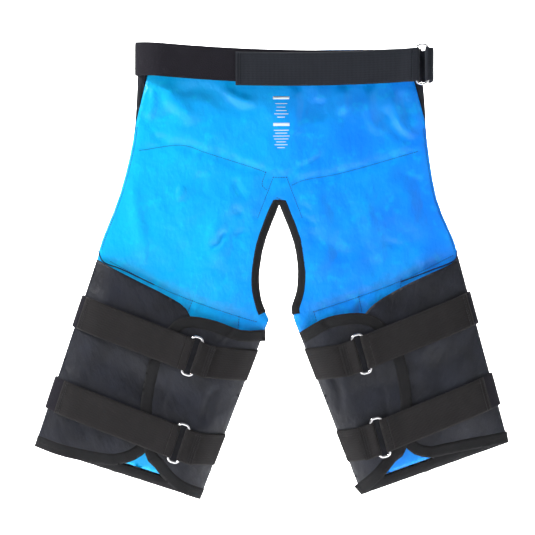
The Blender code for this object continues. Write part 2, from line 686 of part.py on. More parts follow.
def build_leg_strap(leg, which):
    """Makes one leg strap, its return with the hook tab, its ring, the turn on the ring and the anchor."""
    _, ring_s, free_end, _ = leg.sizes["straps"][which]
    level = STRAP_MIDDLE
    place = leg.placer(which)
    name = f"{leg.name}_{which}_"
    bar = ring_s - RING_HALF
    cut = bar - TURN_REACH - TURN_GAP
    path = strap_path(leg, cut, level)
    root_s, root_y = seam_corner(path)
    root = leg.world(root_s, leg.strap_centre(which, root_s), root_y)
    pivot_at(strip(name + "strap", path, WEBBING_THICK, place, "webbing"), root)
    back = return_path(path, free_end, cut)
    fold = leg.world(cut, leg.strap_centre(which, cut), back[-1][1] - WEBBING_THICK / 2)
    pivot_at(strip(name + "return", back, WEBBING_THICK, place, "webbing"), fold)
    hook = cut_path(offset_path(path, WEBBING_THICK / 2 + CLEAR + HOOK_THICK / 2), free_end + HOOK_INSET)
    hook = [point for point in hook if point[0] < free_end + HOOK_LENGTH]
    pivot_at(strip(name + "hook_tab", hook, HOOK_THICK, place, "hook_tape"), fold)
    hinge = leg.world(ring_s + RING_HALF, leg.strap_centre(which, ring_s + RING_HALF), level - RING_LIFT)
    turn = turn_path(bar, level)
    pivot_at(strip(name + "turn", turn, WEBBING_THICK, place, "webbing"), hinge)
    centre = leg.world(ring_s, leg.strap_centre(which, ring_s), level - RING_LIFT)
    along = Vector((leg.across.x, 0.0, leg.across.y))
    ring(name + "ring", centre, along, leg.axis(), hinge)
    build_anchor(leg, which, ring_s + RING_HALF, level)


def build_anchor(leg, which, bar, level):
    """Makes the webbing loop that holds a ring to the inner flap and runs over the flap's seam."""
    inner = leg.inner_s(leg.anchor_centre(which, leg.hem_inner[0]))
    lift = CLEAR + WEBBING_THICK / 2
    seam = [(inner - FLAP_BEND * share, bend_level(FLAP_BEND * share, FLAP_BEND, FLAP_ROOT, MEDIAL_OUTER))
            for share in reversed(BEND_STEPS)]
    lying = offset_path(seam, lift * BEND_SPREAD)
    over = level - WEBBING_THICK - CLEAR
    top = [(bar + ANCHOR_OVERLAP, over), (bar + ANCHOR_KNEE, over), (bar + TURN_REACH, over - OVERLAP_SWELL)]
    bend = arc((bar, level - RING_LIFT), RING_LIFT, 270, 90, 6)
    rest = [(bar + ANCHOR_KNEE, level), *[point for point in lying if point[0] > bar + ANCHOR_OVERLAP]]
    path = [*top, *bend, *rest]
    skews = [0.0] * (len(path) - len(rest) + 1) + [leg.inner_skew] * (len(rest) - 1)
    pivot = leg.world(*leg.hem_inner, FLAP_ROOT + FLAP_THICK)
    place = leg.anchor_placer(which)
    made = strip(f"{leg.name}_{which}_ring_anchor", path, WEBBING_THICK, place, "webbing", skews)
    pivot_at(made, pivot)


def belt_lift(x):
    """Returns the height of the belt's centre line at x."""
    left, middle, right = BELT_LIFT
    share = x / BELT_ENDS[1]
    bow = (left + right) / 2 - middle
    return middle + (right - left) / 2 * share + bow * share * share


def belt_place(x, y, side, skew):
    """Puts a station of the belt in the world."""
    return Vector((x + side * HALF_WEB * skew, y, belt_lift(x) + side * HALF_WEB))


def belt_return_place(x, y, side, skew):
    """Puts a station of the belt's return in the world: it hangs lower towards its free end."""
    drop = BELT_RETURN_DROP * (BELT_RING_X - x) / (BELT_RING_X - BELT_RETURN_END)
    return belt_place(x, y, side, skew) - Vector((0.0, 0.0, drop))


def build_belt():
    """Makes the waistband on the shell, and the belt strap, its return, ring, turn and anchor."""
    half = WAISTBAND_HEIGHT / 2
    front = SHELL_FRONT + CLEAR
    steps = 8
    left, right = BELT_ENDS[0] + WAISTBAND_INSET, BELT_RING_X - WAIST_ANCHOR_TAIL - WAISTBAND_GAP
    stations = [left + (right - left) * k / steps for k in range(steps + 1)]
    lower = [Vector((x, belt_lift(x) - half)) for x in stations]
    upper = [Vector((x, belt_lift(x) + half)) for x in reversed(stations)]
    sheet("waistband", lower + upper, flat(front), WEBBING_THICK, "webbing")
    edge = LINING_BACK - CLEAR - WEBBING_THICK / 2
    back = -BELT_DEPTH
    bar = BELT_RING_X - RING_HALF
    cut = bar - TURN_REACH - TURN_GAP
    bend = [(BELT_ENDS[0] + BELT_BEND * share, back + (edge - back) * (1 - share) ** 2) for share in BEND_STEPS]
    path = [*bend, *[(x, back) for x in BELT_STATIONS], (cut, back)]
    root_x, root_y = seam_corner(path)
    root = Vector((root_x, root_y, belt_lift(root_x)))
    pivot_at(strip("belt_strap", path, WEBBING_THICK, belt_place, "webbing"), root)
    over = return_path(path, BELT_RETURN_END, cut)
    fold = Vector((cut, over[-1][1] - WEBBING_THICK / 2, belt_lift(cut)))
    pivot_at(strip("belt_return", over, WEBBING_THICK, belt_return_place, "webbing"), fold)
    hook = cut_path(offset_path(path, WEBBING_THICK / 2 + CLEAR + HOOK_THICK / 2), BELT_RETURN_END + HOOK_INSET)
    hook = [point for point in hook if point[0] < BELT_RETURN_END + BELT_HOOK_LENGTH]
    pivot_at(strip("belt_hook_tab", hook, HOOK_THICK, belt_return_place, "hook_tape"), fold)
    hinge = Vector((BELT_RING_X + RING_HALF, back - RING_LIFT, belt_lift(BELT_RING_X)))
    turn = turn_path(bar, back)
    pivot_at(strip("belt_turn", turn, WEBBING_THICK, belt_place, "webbing"), hinge)
    centre = Vector((BELT_RING_X, back - RING_LIFT, belt_lift(BELT_RING_X)))
    ring("belt_ring", centre, Vector((1.0, 0.0, 0.0)), Vector((0.0, 0.0, 1.0)), hinge)
    anchor_bar = BELT_RING_X + RING_HALF
    side = BELT_ENDS[1]
    wrap = front + WEBBING_THICK / 2
    bend = arc((anchor_bar, back - RING_LIFT), RING_LIFT, 300, 90, 7)
    route = [*bend, (side - 0.0035, back + 0.002), (side, back + 0.008), (side, wrap - 0.006),
             (side - 0.004, wrap), (BELT_RING_X - WAIST_ANCHOR_TAIL, wrap)]
    strip("belt_ring_anchor", route, WEBBING_THICK, belt_place, "webbing")


def main():
    clear_scene()
    legs = [Leg("left"), Leg("right")]
    build_panel(legs)
    build_belt()
    for leg in legs:
        build_flaps(leg)
        for which in leg.sizes["straps"]:
            build_leg_strap(leg, which)


main()
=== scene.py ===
"""Chainsaw chaps, laid out with the wearer's side towards the camera.

The padded front panel has a glossy lining. A belt closes behind its waist, and behind each leg two flaps
overlap and are held by two straps that run through rings. Lengths are metres, in the frame's axes.
"""

import logging
import math
from dataclasses import dataclass, field
from enum import Enum
from typing import Any, Callable, Iterable, Sequence

import bmesh
import bpy
import numpy as np
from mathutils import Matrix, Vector, noise
from mathutils.geometry import delaunay_2d_cdt


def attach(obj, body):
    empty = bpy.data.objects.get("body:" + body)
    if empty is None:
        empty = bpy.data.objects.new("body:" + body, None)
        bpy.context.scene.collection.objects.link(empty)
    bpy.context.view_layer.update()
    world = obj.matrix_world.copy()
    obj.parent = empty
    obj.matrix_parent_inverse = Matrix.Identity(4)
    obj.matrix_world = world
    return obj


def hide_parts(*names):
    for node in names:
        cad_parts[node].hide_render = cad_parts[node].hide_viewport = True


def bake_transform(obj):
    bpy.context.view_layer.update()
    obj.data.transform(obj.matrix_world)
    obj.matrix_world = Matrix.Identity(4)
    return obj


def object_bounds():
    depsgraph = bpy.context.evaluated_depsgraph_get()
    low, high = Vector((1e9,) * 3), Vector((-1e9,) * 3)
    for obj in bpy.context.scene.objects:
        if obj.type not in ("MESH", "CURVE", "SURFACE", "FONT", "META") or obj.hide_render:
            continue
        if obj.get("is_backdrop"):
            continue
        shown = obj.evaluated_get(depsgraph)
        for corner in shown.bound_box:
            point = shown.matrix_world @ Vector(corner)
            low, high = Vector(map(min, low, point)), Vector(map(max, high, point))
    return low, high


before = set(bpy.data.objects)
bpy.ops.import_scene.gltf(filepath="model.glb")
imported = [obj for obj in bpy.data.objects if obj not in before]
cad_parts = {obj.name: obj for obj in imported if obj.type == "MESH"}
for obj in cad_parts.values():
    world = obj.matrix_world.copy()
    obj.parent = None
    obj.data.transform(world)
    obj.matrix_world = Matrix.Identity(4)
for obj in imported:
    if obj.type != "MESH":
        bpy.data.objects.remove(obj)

logging.basicConfig(level=logging.INFO, format="%(message)s")
LOG = logging.getLogger("chaps")

Array = np.ndarray
Rule = Callable[[Array, Array], Array]


# ---------------------------------------------------------------------------------------- sizes
@dataclass(frozen=True)
class Cut:
    """The sizes that the soft pieces share."""

    clear: float = 0.0004
    lining_back: float = 0.0100
    lining_front: float = 0.0108
    shell_front: float = 0.0210
    flap_root: float = 0.0075
    flap_bend: float = 0.045
    lateral_outer: float = -0.0112
    medial_outer: float = -0.0140
    inseam_binding: float = 0.0115
    hem_binding: float = 0.0160
    webbing_thick: float = 0.0018
    webbing_width: float = 0.049
    hook_thick: float = 0.0010
    strap_level: float = -0.0165
    ring_wire: float = 0.0040
    ring_length: float = 0.0615
    ring_width: float = 0.0200
    ring_corner: float = 0.0060
    ring_lift: float = 0.0033
    turn_reach: float = 0.0073
    anchor_knee: float = 0.014

    @property
    def ring_half(self) -> float:
        """Half the way between a ring's two bars, from centre to centre."""
        return (self.ring_width - self.ring_wire) / 2

    @property
    def return_lift(self) -> float:
        """How far a strap's return lies over the strap, with the hook tab between them."""
        return self.webbing_thick + self.hook_thick + 2 * self.clear


CUT = Cut()


@dataclass(frozen=True)
class StrapCut:
    """One leg strap: its height at the outer edge, its ring's and free end's s, and its anchor's rise."""

    height: float
    ring: float
    free_end: float
    rise: float


@dataclass(frozen=True)
class LegFrame:
    """One leg's frame: s runs across from the outer edge of the hem, and u up along the outer edge."""

    name: str
    side: int
    corner: tuple[float, float]
    splay: float
    hem_inner: tuple[float, float]
    inner_top: tuple[float, float]
    outer_height: float
    slope: float
    straps: dict[str, StrapCut]

    @property
    def across(self) -> Array:
        """The direction of s in (x, z)."""
        turn = math.radians(self.splay)
        return np.array((self.side * math.cos(turn), -math.sin(turn)))

    @property
    def up(self) -> Array:
        """The direction of u in (x, z)."""
        turn = math.radians(self.splay)
        return np.array((self.side * math.sin(turn), math.cos(turn)))

    @property
    def inner_skew(self) -> float:
        """How far the inner edge leans, in s for each u."""
        return (self.inner_top[0] - self.hem_inner[0]) / (self.inner_top[1] - self.hem_inner[1])

    def point(self, s: float, u: float) -> Array:
        """Returns the (x, z) point at (s, u)."""
        return np.array(self.corner) + self.across * s + self.up * u

    def world(self, s: float, u: float, y: float) -> Array:
        """Returns the world point at (s, u) and depth y."""
        flat = self.point(s, u)
        return np.array((flat[0], y, flat[1]))

    def local(self, x: Array, z: Array) -> tuple[Array, Array]:
        """Returns the (s, u) of world points."""
        dx, dz = x - self.corner[0], z - self.corner[1]
        return dx * self.across[0] + dz * self.across[1], dx * self.up[0] + dz * self.up[1]

    def inner_s(self, u: Any) -> Any:
        """Returns s of the inner edge at height u."""
        return self.hem_inner[0] + (u - self.hem_inner[1]) * self.inner_skew

    def centre(self, which: str, s: Any) -> Any:
        """Returns u of a strap's centre line at s."""
        return self.straps[which].height - self.slope * s

    def anchor_centre(self, which: str, s: Any) -> Any:
        """Returns u of an anchor's centre line at s: along the strap, then up towards the inner edge."""
        strap = self.straps[which]
        past = np.maximum(s - strap.ring - CUT.ring_half - CUT.anchor_knee, 0.0)
        soft = np.sqrt(past**2 + 0.003**2) - 0.003
        return self.centre(which, s) + soft * strap.rise

    def bend(self, distance: Any, full: float) -> Any:
        """Returns the depth of a flap's outer face at a distance from its seam.

        Args:
            distance: How far in from the seam.
            full: The depth that the flap reaches.

        Returns:
            The depth, Y.
        """
        share = np.clip(distance / CUT.flap_bend, 0.0, 1.0)
        return full + (CUT.flap_root - full) * (1 - share) ** 2

    def sag(self, x: Array, z: Array) -> Array:
        """Returns how far the flaps sink towards the leg between the straps, the same for every layer."""
        s, u = self.local(x, z)
        held = np.ones_like(s)
        for which in self.straps:
            free = np.maximum(np.abs(u - self.centre(which, s)) - 0.022, 0.0) / 0.026
            held *= 1 - np.exp(-(free**2))
        wide = np.clip(np.minimum(s, self.inner_s(u) - s) / 0.060, 0.0, 1.0)
        wave = wrinkle(x, z, (0.075, 0.110), 3.0 + self.side, math.radians(self.splay) * self.side)
        fine = wrinkle(x, z, (0.028, 0.055), 7.0 + self.side, math.radians(self.splay) * self.side)
        return held * wide * (0.0034 + 0.0044 * wave + 0.0016 * fine)


def wrinkle(x: Array, z: Array, sizes: tuple[float, float], seed: float, turn: float = 0.0) -> Array:
    """Returns smooth noise from about -1 to 1, drawn out in one direction.

    Args:
        x: Places across.
        z: Places along.
        sizes: The bumps' width and length.
        seed: Picks another pattern.
        turn: Leans the pattern, in radians.

    Returns:
        The noise at each place.
    """
    cos, sin = math.cos(turn), math.sin(turn)
    a = (x * cos - z * sin) / sizes[0]
    b = (x * sin + z * cos) / sizes[1]
    return np.array([noise.noise((p, q, seed)) for p, q in zip(a, b)]) * 1.6


LEGS = (
    LegFrame("left", 1, (-0.3690, -0.5600), 18.4, (0.2570, 0.0030), (0.2700, 0.2870), 0.2920, 0.045,
             {"upper": StrapCut(0.2100, 0.1800, 0.0040, 0.27),
              "lower": StrapCut(0.0840, 0.2010, 0.0130, 0.28)}),
    LegFrame("right", -1, (0.3310, -0.5545), 15.1, (0.2300, -0.0180), (0.2590, 0.2560), 0.2870, 0.120,
             {"upper": StrapCut(0.2060, 0.1770, 0.0040, 0.24),
              "lower": StrapCut(0.0820, 0.1820, 0.0120, 0.18)}),
)


@dataclass(frozen=True)
class PanelCut:
    """The front panel's edges, as (x, z) points that a smooth line runs through."""

    waist: tuple = ((-0.2160, 0.0330), (-0.1000, 0.0270), (0.0, 0.0255), (0.1000, 0.0262), (0.2030, 0.0275))
    left_hip: tuple = ((-0.2175, -0.0130), (-0.2192, -0.0530), (-0.2242, -0.1080), (-0.2430, -0.1860),
                       (-0.2700, -0.2560))
    right_hip: tuple = ((0.2045, -0.0130), (0.2080, -0.0530), (0.2117, -0.1116), (0.2255, -0.1945),
                        (0.2500, -0.2540))
    left_inseam: tuple = ((-0.0284, -0.2558), (-0.0365, -0.2950), (-0.0375, -0.3234), (-0.0325, -0.3500))
    right_inseam: tuple = ((0.0132, -0.2558), (0.0200, -0.2950), (0.0185, -0.3300), (0.0110, -0.3560))
    crotch: tuple = (-0.0076, -0.2020)

    def hip_edge(self, leg: LegFrame) -> Array:
        """Returns one outer edge, from the waist to the hem."""
        first = self.waist[0] if leg.side > 0 else self.waist[-1]
        hip = self.left_hip if leg.side > 0 else self.right_hip
        top = leg.point(0.0, leg.outer_height)
        return np.vstack([spline([first, *hip, top], 4), [leg.point(0.0, 0.0)]])

    def inner_edge(self, leg: LegFrame) -> Array:
        """Returns one inner edge, from the crotch to the hem."""
        inseam = self.left_inseam if leg.side > 0 else self.right_inseam
        return np.vstack([spline([self.crotch, *inseam, leg.point(*leg.inner_top)], 4),
                          [leg.point(*leg.hem_inner)]])

    def hem(self, leg: LegFrame) -> Array:
        """Returns one hem, from the outer edge to the inner edge."""
        return np.array([leg.point(0.0, 0.0), leg.point(*leg.hem_inner)])


def spline(points: Sequence, steps: int) -> Array:
    """Returns a Catmull-Rom line through the points.

    Args:
        points: The points, of any number of coordinates.
        steps: How many pieces each span is cut into.

    Returns:
        The line's points, one in each row.
    """
    knots = np.array([np.array(point, float) for point in points])
    padded = np.vstack([2 * knots[0] - knots[1], knots, 2 * knots[-1] - knots[-2]])
    rows = []
    for index in range(len(knots) - 1):
        a, b, c, d = padded[index:index + 4]
        for step in range(steps):
            t = step / steps
            rows.append(0.5 * (2 * b + (c - a) * t + (2 * a - 5 * b + 4 * c - d) * t**2
                               + (3 * b - a - 3 * c + d) * t**3))
    rows.append(knots[-1])
    return np.array(rows)


def resample(line: Array, spacing: float, closed: bool = False) -> Array:
    """Cuts each span of a line into pieces no longer than spacing, and keeps its corners."""
    points = np.vstack([line, line[:1]]) if closed else line
    rows = []
    for start, end in zip(points, points[1:]):
        count = max(1, math.ceil(float(np.linalg.norm(end - start)) / spacing))
        rows += [start + (end - start) * k / count for k in range(count)]
    if not closed:
        rows.append(points[-1])
    return np.array(rows)


def even(line: Array, spacing: float) -> Array:
    """Returns points at even steps along a line, its two ends included."""
    steps = np.linalg.norm(np.diff(line, axis=0), axis=1)
    length = np.concatenate([[0.0], np.cumsum(steps)])
    count = max(2, round(float(length[-1]) / spacing) + 1)
    places = np.linspace(0.0, length[-1], count)
    return np.stack([np.interp(places, length, line[:, k]) for k in range(line.shape[1])], axis=1)


def distance(x: Array, z: Array, line: Array) -> Array:
    """Returns each place's distance from a line of (x, z) points."""
    best = np.full(len(x), 1e9)
    for start, end in zip(line, line[1:]):
        run = end - start
        size = float(run @ run) or 1e-12
        t = np.clip(((x - start[0]) * run[0] + (z - start[1]) * run[1]) / size, 0.0, 1.0)
        best = np.minimum(best, np.hypot(x - start[0] - run[0] * t, z - start[1] - run[1] * t))
    return best


def inside(x: Array, z: Array, loop: Array) -> Array:
    """Returns whether each place lies inside a closed line."""
    found = np.zeros(len(x), bool)
    for (ax, az), (bx, bz) in zip(loop, np.roll(loop, -1, axis=0)):
        if az == bz:
            continue
        crosses = (az > z) != (bz > z)
        found ^= crosses & (x < (bx - ax) * (z - az) / (bz - az) + ax)
    return found


# ---------------------------------------------------------------------------------------- shaders
class Value:
    """A number socket that can be used in a Python expression; each operator adds a Math node."""

    def __init__(self, shader: "Shader", socket: Any) -> None:
        self.shader = shader
        self.socket = socket

    def math(self, operation: str, *others: Any) -> "Value":
        """Returns a Math node's result on this value and the others."""
        made = self.shader.node("ShaderNodeMath", {"operation": operation},
                                {index: item for index, item in enumerate((self, *others))})
        return Value(self.shader, made.outputs[0])

    def __add__(self, other: Any) -> "Value":
        """Returns self + other."""
        return self.math("ADD", other)

    def __radd__(self, other: float) -> "Value":
        """Returns other + self."""
        return self.math("ADD", other)

    def __sub__(self, other: Any) -> "Value":
        """Returns self - other."""
        return self.math("SUBTRACT", other)

    def __rsub__(self, other: float) -> "Value":
        """Returns other - self."""
        return self.math("MULTIPLY_ADD", -1.0, other)

    def __mul__(self, other: Any) -> "Value":
        """Returns self * other."""
        return self.math("MULTIPLY", other)

    def __rmul__(self, other: float) -> "Value":
        """Returns other * self."""
        return self.math("MULTIPLY", other)

    def __truediv__(self, other: Any) -> "Value":
        """Returns self / other."""
        return self.math("DIVIDE", other)

    def __pow__(self, other: float) -> "Value":
        """Returns self to the power other."""
        return self.math("POWER", other)

    def sine(self) -> "Value":
        """Returns the sine."""
        return self.math("SINE")

    def absolute(self) -> "Value":
        """Returns the value without its sign."""
        return self.math("ABSOLUTE")

    def between(self, low: float, high: float) -> "Value":
        """Returns 0 below low and 1 above high, with a smooth change between them."""
        made = self.shader.node("ShaderNodeMapRange", {"interpolation_type": "SMOOTHSTEP"},
                                {"Value": self, "From Min": low, "From Max": high})
        return Value(self.shader, made.outputs[0])


class Shader:
    """Builds one material's nodes."""

    def __init__(self, name: str) -> None:
        self.material = bpy.data.materials.new(name)
        self.material.use_nodes = True
        self.tree = self.material.node_tree
        self.tree.nodes.clear()
        self.output = self.tree.nodes.new("ShaderNodeOutputMaterial")
        self.column = 0

    def node(self, kind: str, settings: dict[str, Any], inputs: dict[Any, Any]) -> Any:
        """Adds a node.

        Args:
            kind: The node's type.
            settings: Its properties, which are set first. "stops" holds a ramp's places and colours.
            inputs: Values, sockets or Values for its inputs, by name or number.

        Returns:
            The node.
        """
        made = self.tree.nodes.new(kind)
        self.column += 1
        made.location = (-200 * (self.column % 12) - 300, -180 * (self.column // 12))
        for key, setting in settings.items():
            if key == "stops":
                self.fill_ramp(made.color_ramp, setting)
            else:
                setattr(made, key, setting)
        for key, item in inputs.items():
            if isinstance(item, Value):
                item = item.socket
            if isinstance(item, bpy.types.NodeSocket):
                self.tree.links.new(item, made.inputs[key])
            else:
                made.inputs[key].default_value = item
        return made

    @staticmethod
    def fill_ramp(ramp: Any, stops: Sequence[tuple[float, tuple]]) -> None:
        """Sets a ramp's stops."""
        while len(ramp.elements) > 1:
            ramp.elements.remove(ramp.elements[-1])
        ramp.elements[0].position = stops[0][0]
        ramp.elements[0].color = (*stops[0][1], 1.0)
        for place, colour in stops[1:]:
            ramp.elements.new(place).color = (*colour, 1.0)

    def places(self, turn: float = 0.0) -> Any:
        """Returns the object's own coordinates in metres, turned about Y."""
        found = self.node("ShaderNodeTexCoord", {}, {}).outputs["Object"]
        if turn:
            turned = {"Vector": found, "Rotation": (0.0, turn, 0.0)}
            found = self.node("ShaderNodeMapping", {}, turned).outputs[0]
        return found

    def cloth(self) -> tuple[Value, Value, Any]:
        """Returns the piece's UV map: metres along it, metres across it, and both as a vector."""
        mapped = self.node("ShaderNodeUVMap", {"uv_map": "cloth"}, {}).outputs[0]
        parts = self.node("ShaderNodeSeparateXYZ", {}, {0: mapped})
        return Value(self, parts.outputs[0]), Value(self, parts.outputs[1]), mapped

    def noise(self, places: Any, size: float, detail: float = 2.0, stretch: tuple = (1.0, 1.0, 1.0)) -> Value:
        """Returns noise from 0 to 1.

        Args:
            places: The vector that it follows.
            size: The bumps' size in metres.
            detail: How many finer layers it has.
            stretch: Multiplies the frequency along each axis.

        Returns:
            The noise.
        """
        scaled = self.node("ShaderNodeVectorMath", {"operation": "MULTIPLY"},
                           {0: places, 1: tuple(part / size for part in stretch)}).outputs[0]
        made = self.node("ShaderNodeTexNoise", {}, {"Vector": scaled, "Scale": 1.0, "Detail": detail})
        return Value(self, made.outputs[0])

    def mix(self, share: Any, first: Any, second: Any) -> Any:
        """Returns a mix of two colours."""
        made = self.node("ShaderNodeMix", {"data_type": "RGBA"}, {})
        for key, item in ((0, share), (6, first), (7, second)):
            if isinstance(item, Value):
                item = item.socket
            if isinstance(item, bpy.types.NodeSocket):
                self.tree.links.new(item, made.inputs[key])
            else:
                made.inputs[key].default_value = (*item, 1.0) if isinstance(item, tuple) else item
        return made.outputs[2]

    def bump(self, height: Value, depth: float, strength: float = 1.0, before: Any = None) -> Any:
        """Returns a normal raised by a height from 0 to 1 that stands for depth in metres."""
        inputs: dict[Any, Any] = {"Height": height, "Distance": depth, "Strength": strength}
        if before is not None:
            inputs["Normal"] = before
        return self.node("ShaderNodeBump", {}, inputs).outputs[0]

    def finish(self, inputs: dict[str, Any]) -> Any:
        """Adds the surface and returns the material."""
        surface = self.node("ShaderNodeBsdfPrincipled", {}, inputs)
        self.tree.links.new(surface.outputs[0], self.output.inputs[0])
        return self.material


@dataclass(frozen=True)
class SatinLining:
    """Glossy blue woven lining, with a fine crumple, a slight change of tone, and painted light that makes it
    paler towards -X, where the key light falls.
    """

    colour: tuple = (0.0, 0.330, 1.0)
    # The paler blue: used for random pale patches, and for the painted light on the -X side.
    pale: tuple = (0.0, 0.60, 1.0)
    deep: tuple = (0.0, 0.225, 0.95)
    thread: float = 0.00055

    def make(self) -> Any:
        """Returns the material."""
        shader = Shader("satin_lining")
        places = shader.places()
        tone = shader.noise(places, 0.085, 3.0)
        small = shader.noise(places, 0.014, 2.0)
        base = shader.mix(tone.between(0.30, 0.72), self.deep, self.colour)
        parts = shader.node("ShaderNodeSeparateXYZ", {}, {0: places})
        # Painted light: a colour gradient that makes the lining paler towards -X, the side the key light comes
        # from.
        painted_side_light = 1.0 - Value(shader, parts.outputs[0]).between(-0.26, 0.12)
        base = shader.mix(small.between(0.52, 0.80) * 0.25 + painted_side_light * 0.60, base, self.pale)
        step = 2 * math.pi / self.thread
        warp = (Value(shader, parts.outputs[0]) * step).sine()
        weft = (Value(shader, parts.outputs[2]) * step).sine()
        weave = warp * weft * 0.5 + 0.5
        crumple = shader.noise(places, 0.030, 4.0, (1.0, 1.0, 0.6))
        normal = shader.bump(crumple, 0.0050, 0.80)
        normal = shader.bump(small, 0.0010, 0.60, normal)
        normal = shader.bump(weave, 0.00006, 0.35, normal)
        return shader.finish({"Base Color": base, "Roughness": small * 0.12 + 0.26, "Normal": normal,
                              "Specular IOR Level": 0.34})


@dataclass(frozen=True)
class CoatedNylon:
    """Black oxford nylon: a fine basket weave with a cool sheen."""

    name: str = "coated_nylon"
    colour: tuple = (0.0042, 0.0047, 0.0085)
    pale: tuple = (0.0125, 0.0150, 0.0270)
    thread: float = 0.0009
    turn: float = 0.0
    roughness: float = 0.50

    def make(self) -> Any:
        """Returns the material."""
        shader = Shader(self.name)
        places = shader.places(self.turn)
        tone = shader.noise(places, 0.045, 3.0)
        grit = shader.noise(places, 0.0012, 2.0)
        parts = shader.node("ShaderNodeSeparateXYZ", {}, {0: places})
        step = 2 * math.pi / self.thread
        warp = (Value(shader, parts.outputs[0]) * step).sine()
        weft = (Value(shader, parts.outputs[2]) * step).sine()
        weave = warp * weft * 0.5 + 0.5
        base = shader.mix(tone.between(0.30, 0.75) * 0.6 + grit * weave * 0.5, self.colour, self.pale)
        crumple = shader.noise(places, 0.026, 4.0, (1.0, 1.0, 0.5))
        normal = shader.bump(crumple, 0.0060, 0.80)
        normal = shader.bump(weave, 0.00012, 0.55, normal)
        return shader.finish({"Base Color": base, "Roughness": tone * 0.14 + (self.roughness - 0.07),
                              "Normal": normal, "Sheen Weight": 0.03, "Sheen Roughness": 0.40,
                              "Sheen Tint": (0.45, 0.55, 0.85, 1.0), "Specular IOR Level": 0.34})


class Weave(Enum):
    """How a tape is woven."""

    RIBBED = "ribbed"
    LOOP = "loop"
    HOOK = "hook"
    EDGING = "edging"


@dataclass(frozen=True)
class Tape:
    """Woven tape, whose pattern follows its own length."""

    name: str
    weave: Weave
    colour: tuple
    pale: tuple
    pitch: float
    roughness: float = 0.80

    def relief(self, shader: Shader, along: Value, across: Value, mapped: Any) -> Value:
        """Returns the tape's relief, from 0 to 1."""
        step = math.pi / self.pitch
        if self.weave is Weave.RIBBED:
            ribs = (along * step).sine().absolute()
            cords = (across * (step * 0.55)).sine().absolute()
            return ribs * 0.72 + cords * 0.28
        if self.weave is Weave.LOOP:
            return shader.noise(mapped, self.pitch, 4.0)
        if self.weave is Weave.HOOK:
            return (along * step).sine().absolute() * (across * step).sine().absolute()
        return (across * step).sine().absolute() * 0.6 + (along * (step * 0.7)).sine().absolute() * 0.4

    def make(self) -> Any:
        """Returns the material."""
        shader = Shader(self.name)
        along, across, mapped = shader.cloth()
        height = self.relief(shader, along, across, mapped)
        fuzz = shader.noise(mapped, 0.0007, 2.0)
        tone = shader.noise(mapped, 0.018, 3.0, (1.0, 0.5, 1.0))
        base = shader.mix(height * 0.55 + tone * 0.30 + fuzz * 0.25, self.colour, self.pale)
        depth = 0.00045 if self.weave in (Weave.LOOP, Weave.HOOK) else 0.00022
        normal = shader.bump(height, depth * 1.6, 1.0)
        normal = shader.bump(fuzz, 0.00012, 0.5, normal)
        return shader.finish({"Base Color": base, "Roughness": self.roughness, "Normal": normal,
                              "Sheen Weight": 0.04, "Sheen Roughness": 0.5, "Specular IOR Level": 0.22})


@dataclass(frozen=True)
class PlatedSteel:
    """Bright nickel plate with faint rubbing."""

    colour: tuple = (0.74, 0.74, 0.76)

    def make(self) -> Any:
        """Returns the material."""
        shader = Shader("plated_steel")
        places = shader.places()
        rub = shader.noise(places, 0.004, 3.0)
        marks = shader.noise(places, 0.0009, 2.0, (1.0, 1.0, 0.2))
        base = shader.mix(rub.between(0.45, 0.75), self.colour, (0.60, 0.60, 0.62))
        return shader.finish({"Base Color": base, "Metallic": 1.0, "Roughness": rub * 0.16 + 0.12,
                              "Normal": shader.bump(marks, 0.00004, 0.3)})


@dataclass(frozen=True)
class Plain:
    """Thread, print, padding or stage: one tone with a grain."""

    name: str
    colour: tuple
    pale: tuple
    roughness: float
    grain: float
    depth: float = 0.0001

    def make(self) -> Any:
        """Returns the material."""
        shader = Shader(self.name)
        places = shader.places()
        grain = shader.noise(places, self.grain, 3.0)
        base = shader.mix(grain, self.colour, self.pale)
        return shader.finish({"Base Color": base, "Roughness": grain * 0.1 + self.roughness,
                              "Normal": shader.bump(grain, self.depth, 0.5)})


